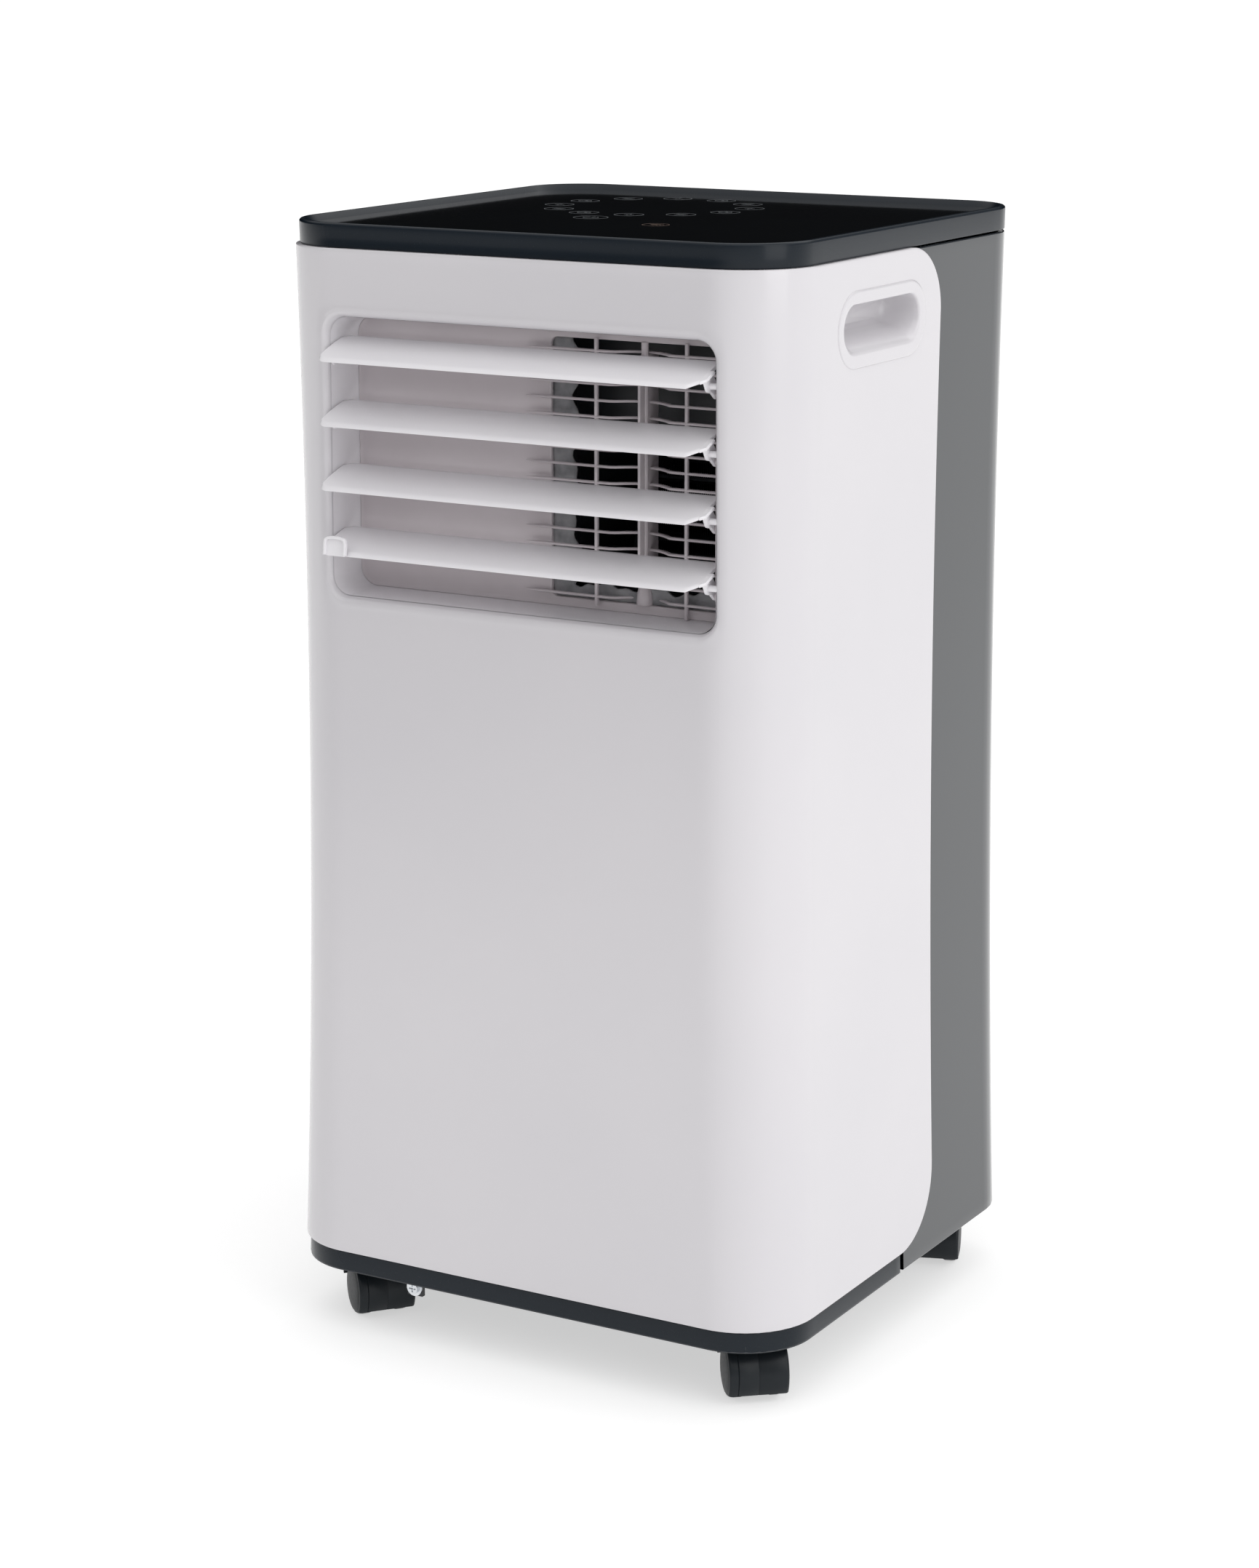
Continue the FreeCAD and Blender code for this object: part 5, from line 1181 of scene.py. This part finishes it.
def surround(power):
    """A soft sky: bright overhead and to the right, dark low down behind the lid.

    Its strength is the power times a share that grows with height, times one that grows along a
    direction to the right and up.
    """
    world = bpy.data.worlds.new("surround")
    world.use_nodes = True
    nodes, links = world.node_tree.nodes, world.node_tree.links
    backdrop = nodes["Background"]
    backdrop.inputs["Color"].default_value = (1.0, 1.0, 1.0, 1)
    place = nodes.new("ShaderNodeTexCoord")
    split = nodes.new("ShaderNodeSeparateXYZ")
    links.new(place.outputs["Generated"], split.inputs["Vector"])
    behind = nodes.new("ShaderNodeVectorMath")
    behind.operation = "DOT_PRODUCT"
    behind.inputs[1].default_value = (-0.497, 0.868, 0.0)
    links.new(place.outputs["Generated"], behind.inputs[0])
    away = value_node(nodes, "ShaderNodeMapRange", From_Min=0.35, From_Max=0.75, To_Min=0.45, To_Max=0.01)
    links.new(behind.outputs["Value"], away.inputs["Value"])
    raised = value_node(nodes, "ShaderNodeMapRange", From_Min=0.36, From_Max=0.62, To_Min=0.0, To_Max=1.0)
    raised.interpolation_type = "SMOOTHSTEP"
    links.new(split.outputs["Z"], raised.inputs["Value"])
    level = nodes.new("ShaderNodeMix")
    links.new(raised.outputs["Result"], level.inputs["Factor"])
    links.new(away.outputs["Result"], level.inputs["A"])
    level.inputs["B"].default_value = 1.0
    sideways = nodes.new("ShaderNodeVectorMath")
    sideways.operation = "DOT_PRODUCT"
    sideways.inputs[1].default_value = (0.85, 0.0, 0.9)
    links.new(place.outputs["Generated"], sideways.inputs[0])
    bright = value_node(
        nodes, "ShaderNodeMapRange", From_Min=-0.6, From_Max=0.75, To_Min=0.15, To_Max=1.0)
    links.new(sideways.outputs["Value"], bright.inputs["Value"])
    both = nodes.new("ShaderNodeMath")
    both.operation = "MULTIPLY"
    links.new(bright.outputs["Result"], both.inputs[0])
    links.new(level.outputs["Result"], both.inputs[1])
    strength = nodes.new("ShaderNodeMath")
    strength.operation = "MULTIPLY"
    strength.inputs[1].default_value = power
    links.new(both.outputs["Value"], strength.inputs[0])
    links.new(strength.outputs["Value"], backdrop.inputs["Strength"])
    return world


def paint_floor_shade(material):
    """The floor turns greyer in a wide patch off to the front left, where little light reaches it."""
    nodes, links = material.node_tree.nodes, material.node_tree.links
    shader = nodes["Principled BSDF"]
    place = nodes.new("ShaderNodeTexCoord")
    away = nodes.new("ShaderNodeVectorMath")
    away.operation = "DISTANCE"
    away.inputs[1].default_value = (-1.75, -3.2, 0.0)
    links.new(place.outputs["Object"], away.inputs[0])
    level = value_node(nodes, "ShaderNodeMapRange", From_Min=1.2, From_Max=2.9, To_Min=0.12, To_Max=1.0)
    level.interpolation_type = "SMOOTHSTEP"
    links.new(away.outputs["Value"], level.inputs["Value"])
    glow = nodes.new("ShaderNodeMath")
    glow.operation = "MULTIPLY"
    glow.inputs[1].default_value = shader.inputs["Emission Strength"].default_value
    links.new(level.outputs["Result"], glow.inputs[0])
    links.new(glow.outputs["Value"], shader.inputs["Emission Strength"])
    tone = nodes.new("ShaderNodeMix")
    tone.data_type = "RGBA"
    tone.blend_type = "MULTIPLY"
    tone.inputs["Factor"].default_value = 1.0
    links.new(shader.inputs["Base Color"].links[0].from_socket, tone.inputs["A"])
    links.new(level.outputs["Result"], tone.inputs["B"])
    links.new(tone.outputs["Result"], shader.inputs["Base Color"])


def build_stage():
    """A pale floor, a white surround, soft light and the camera."""
    s = bpy.context.scene.ac_stage
    scene = bpy.context.scene
    scene.world = surround(s.sky)
    size = 60.0
    grid = np.linspace(-size, size, 9) / MM
    gx, gy = np.meshgrid(grid, grid, indexing="ij")
    points, faces = sheet_of(np.stack([gx, gy, np.zeros_like(gx)], -1))
    mesh = bpy.data.meshes.new("floor")
    mesh.from_pydata((points * MM).tolist(), [], faces.tolist())
    pale = finish("ac_floor", (0.56, 0.56, 0.56), 0.65, shade=(0.55, 0.55, 0.55),
                  grain=1e-6, wave=1e-5, wave_size=1.0, specular=0.2)
    glow = pale.node_tree.nodes["Principled BSDF"].inputs
    glow["Emission Color"].default_value = (1.0, 1.0, 1.0, 1.0)
    glow["Emission Strength"].default_value = s.floor_glow
    # painted shade: a greyer patch on the floor off to the front left
    paint_floor_shade(pale)
    mesh.materials.append(pale)
    floor = bpy.data.objects.new("floor", mesh)
    scene.collection.objects.link(floor)
    softbox("key", (2.5, -0.7, 1.2), (0.1, -0.05, 0.4), (1.6, 2.0), s.key_power)
    softbox("fill", (-0.8, -3.0, 1.6), (0, 0, 0.35), (1.6, 1.6), s.fill_power)
    data = bpy.data.cameras.new("camera")
    data.lens = s.lens
    data.sensor_width = 36.0
    data.shift_y = s.shift_y
    camera = bpy.data.objects.new("camera", data)
    camera.location = s.camera_place
    camera.rotation_euler = (math.pi / 2 - s.camera_pitch, 0.0, s.camera_azimuth)
    scene.collection.objects.link(camera)
    scene.camera = camera
    scene.view_settings.view_transform = "Standard"


# ---------------------------------------------------------------- operators and panel

STEPS = (
    ("front_panel", "Front panel", build_front_panel),
    ("rear_housing", "Rear housing", build_rear_housing),
    ("top_lid", "Top lid", build_top_lid),
    ("touch_panel", "Touch panel", build_touch_panel),
    ("key_prints", "Key prints", build_key_prints),
    ("base_band", "Base band", build_base_band),
    ("handle_cups", "Handle cups", build_handle_cups),
    ("outlet_recess", "Outlet recess", build_outlet_recess),
    ("grille", "Grille", build_grille),
    ("foam", "Foam strip", build_foam),
    ("blades", "Louver blades", build_blades),
    ("tab", "Finger tab", build_tab),
    ("vane", "Vane", build_vane),
    ("casters", "Casters", build_casters),
    ("filters", "Filters", build_filters),
    ("kept_nodes", "CAD finishes", build_kept_nodes),
    ("stage", "Stage", build_stage),
)


def make_operator(key, label, builder):
    """An operator class whose execute runs one builder."""
    def execute(self, context):
        builder()
        return {"FINISHED"}

    return type("OBJECT_OT_ac_" + key, (bpy.types.Operator,), {
        "bl_idname": "object.ac_" + key, "bl_label": label, "bl_options": {"REGISTER", "UNDO"},
        "__doc__": builder.__doc__, "execute": execute})


OPERATORS = [make_operator(*step) for step in STEPS]
SETTINGS = (("ac_cabinet", CabinetSettings), ("ac_outlet", OutletSettings), ("ac_stage", StageSettings))


class VIEW3D_PT_air_conditioner(bpy.types.Panel):
    """Buttons that build the pieces in order."""

    bl_label = "Air conditioner"
    bl_space_type = "VIEW_3D"
    bl_region_type = "UI"
    bl_category = "Air conditioner"

    def draw(self, context):
        for key, _, _ in STEPS:
            self.layout.operator("object.ac_" + key)


def register():
    for name, group in SETTINGS:
        bpy.utils.register_class(group)
        setattr(bpy.types.Scene, name, bpy.props.PointerProperty(type=group))
    for operator in OPERATORS:
        bpy.utils.register_class(operator)
    bpy.utils.register_class(VIEW3D_PT_air_conditioner)


def unregister():
    bpy.utils.unregister_class(VIEW3D_PT_air_conditioner)
    for operator in reversed(OPERATORS):
        bpy.utils.unregister_class(operator)
    for name, group in SETTINGS:
        delattr(bpy.types.Scene, name)
        bpy.utils.unregister_class(group)


def main():
    """Registers the add-on, builds every piece in order and writes the two boxes."""
    register()
    for key, _, _ in STEPS:
        getattr(bpy.ops.object, "ac_" + key)()


if __name__ == "__main__":
    main()
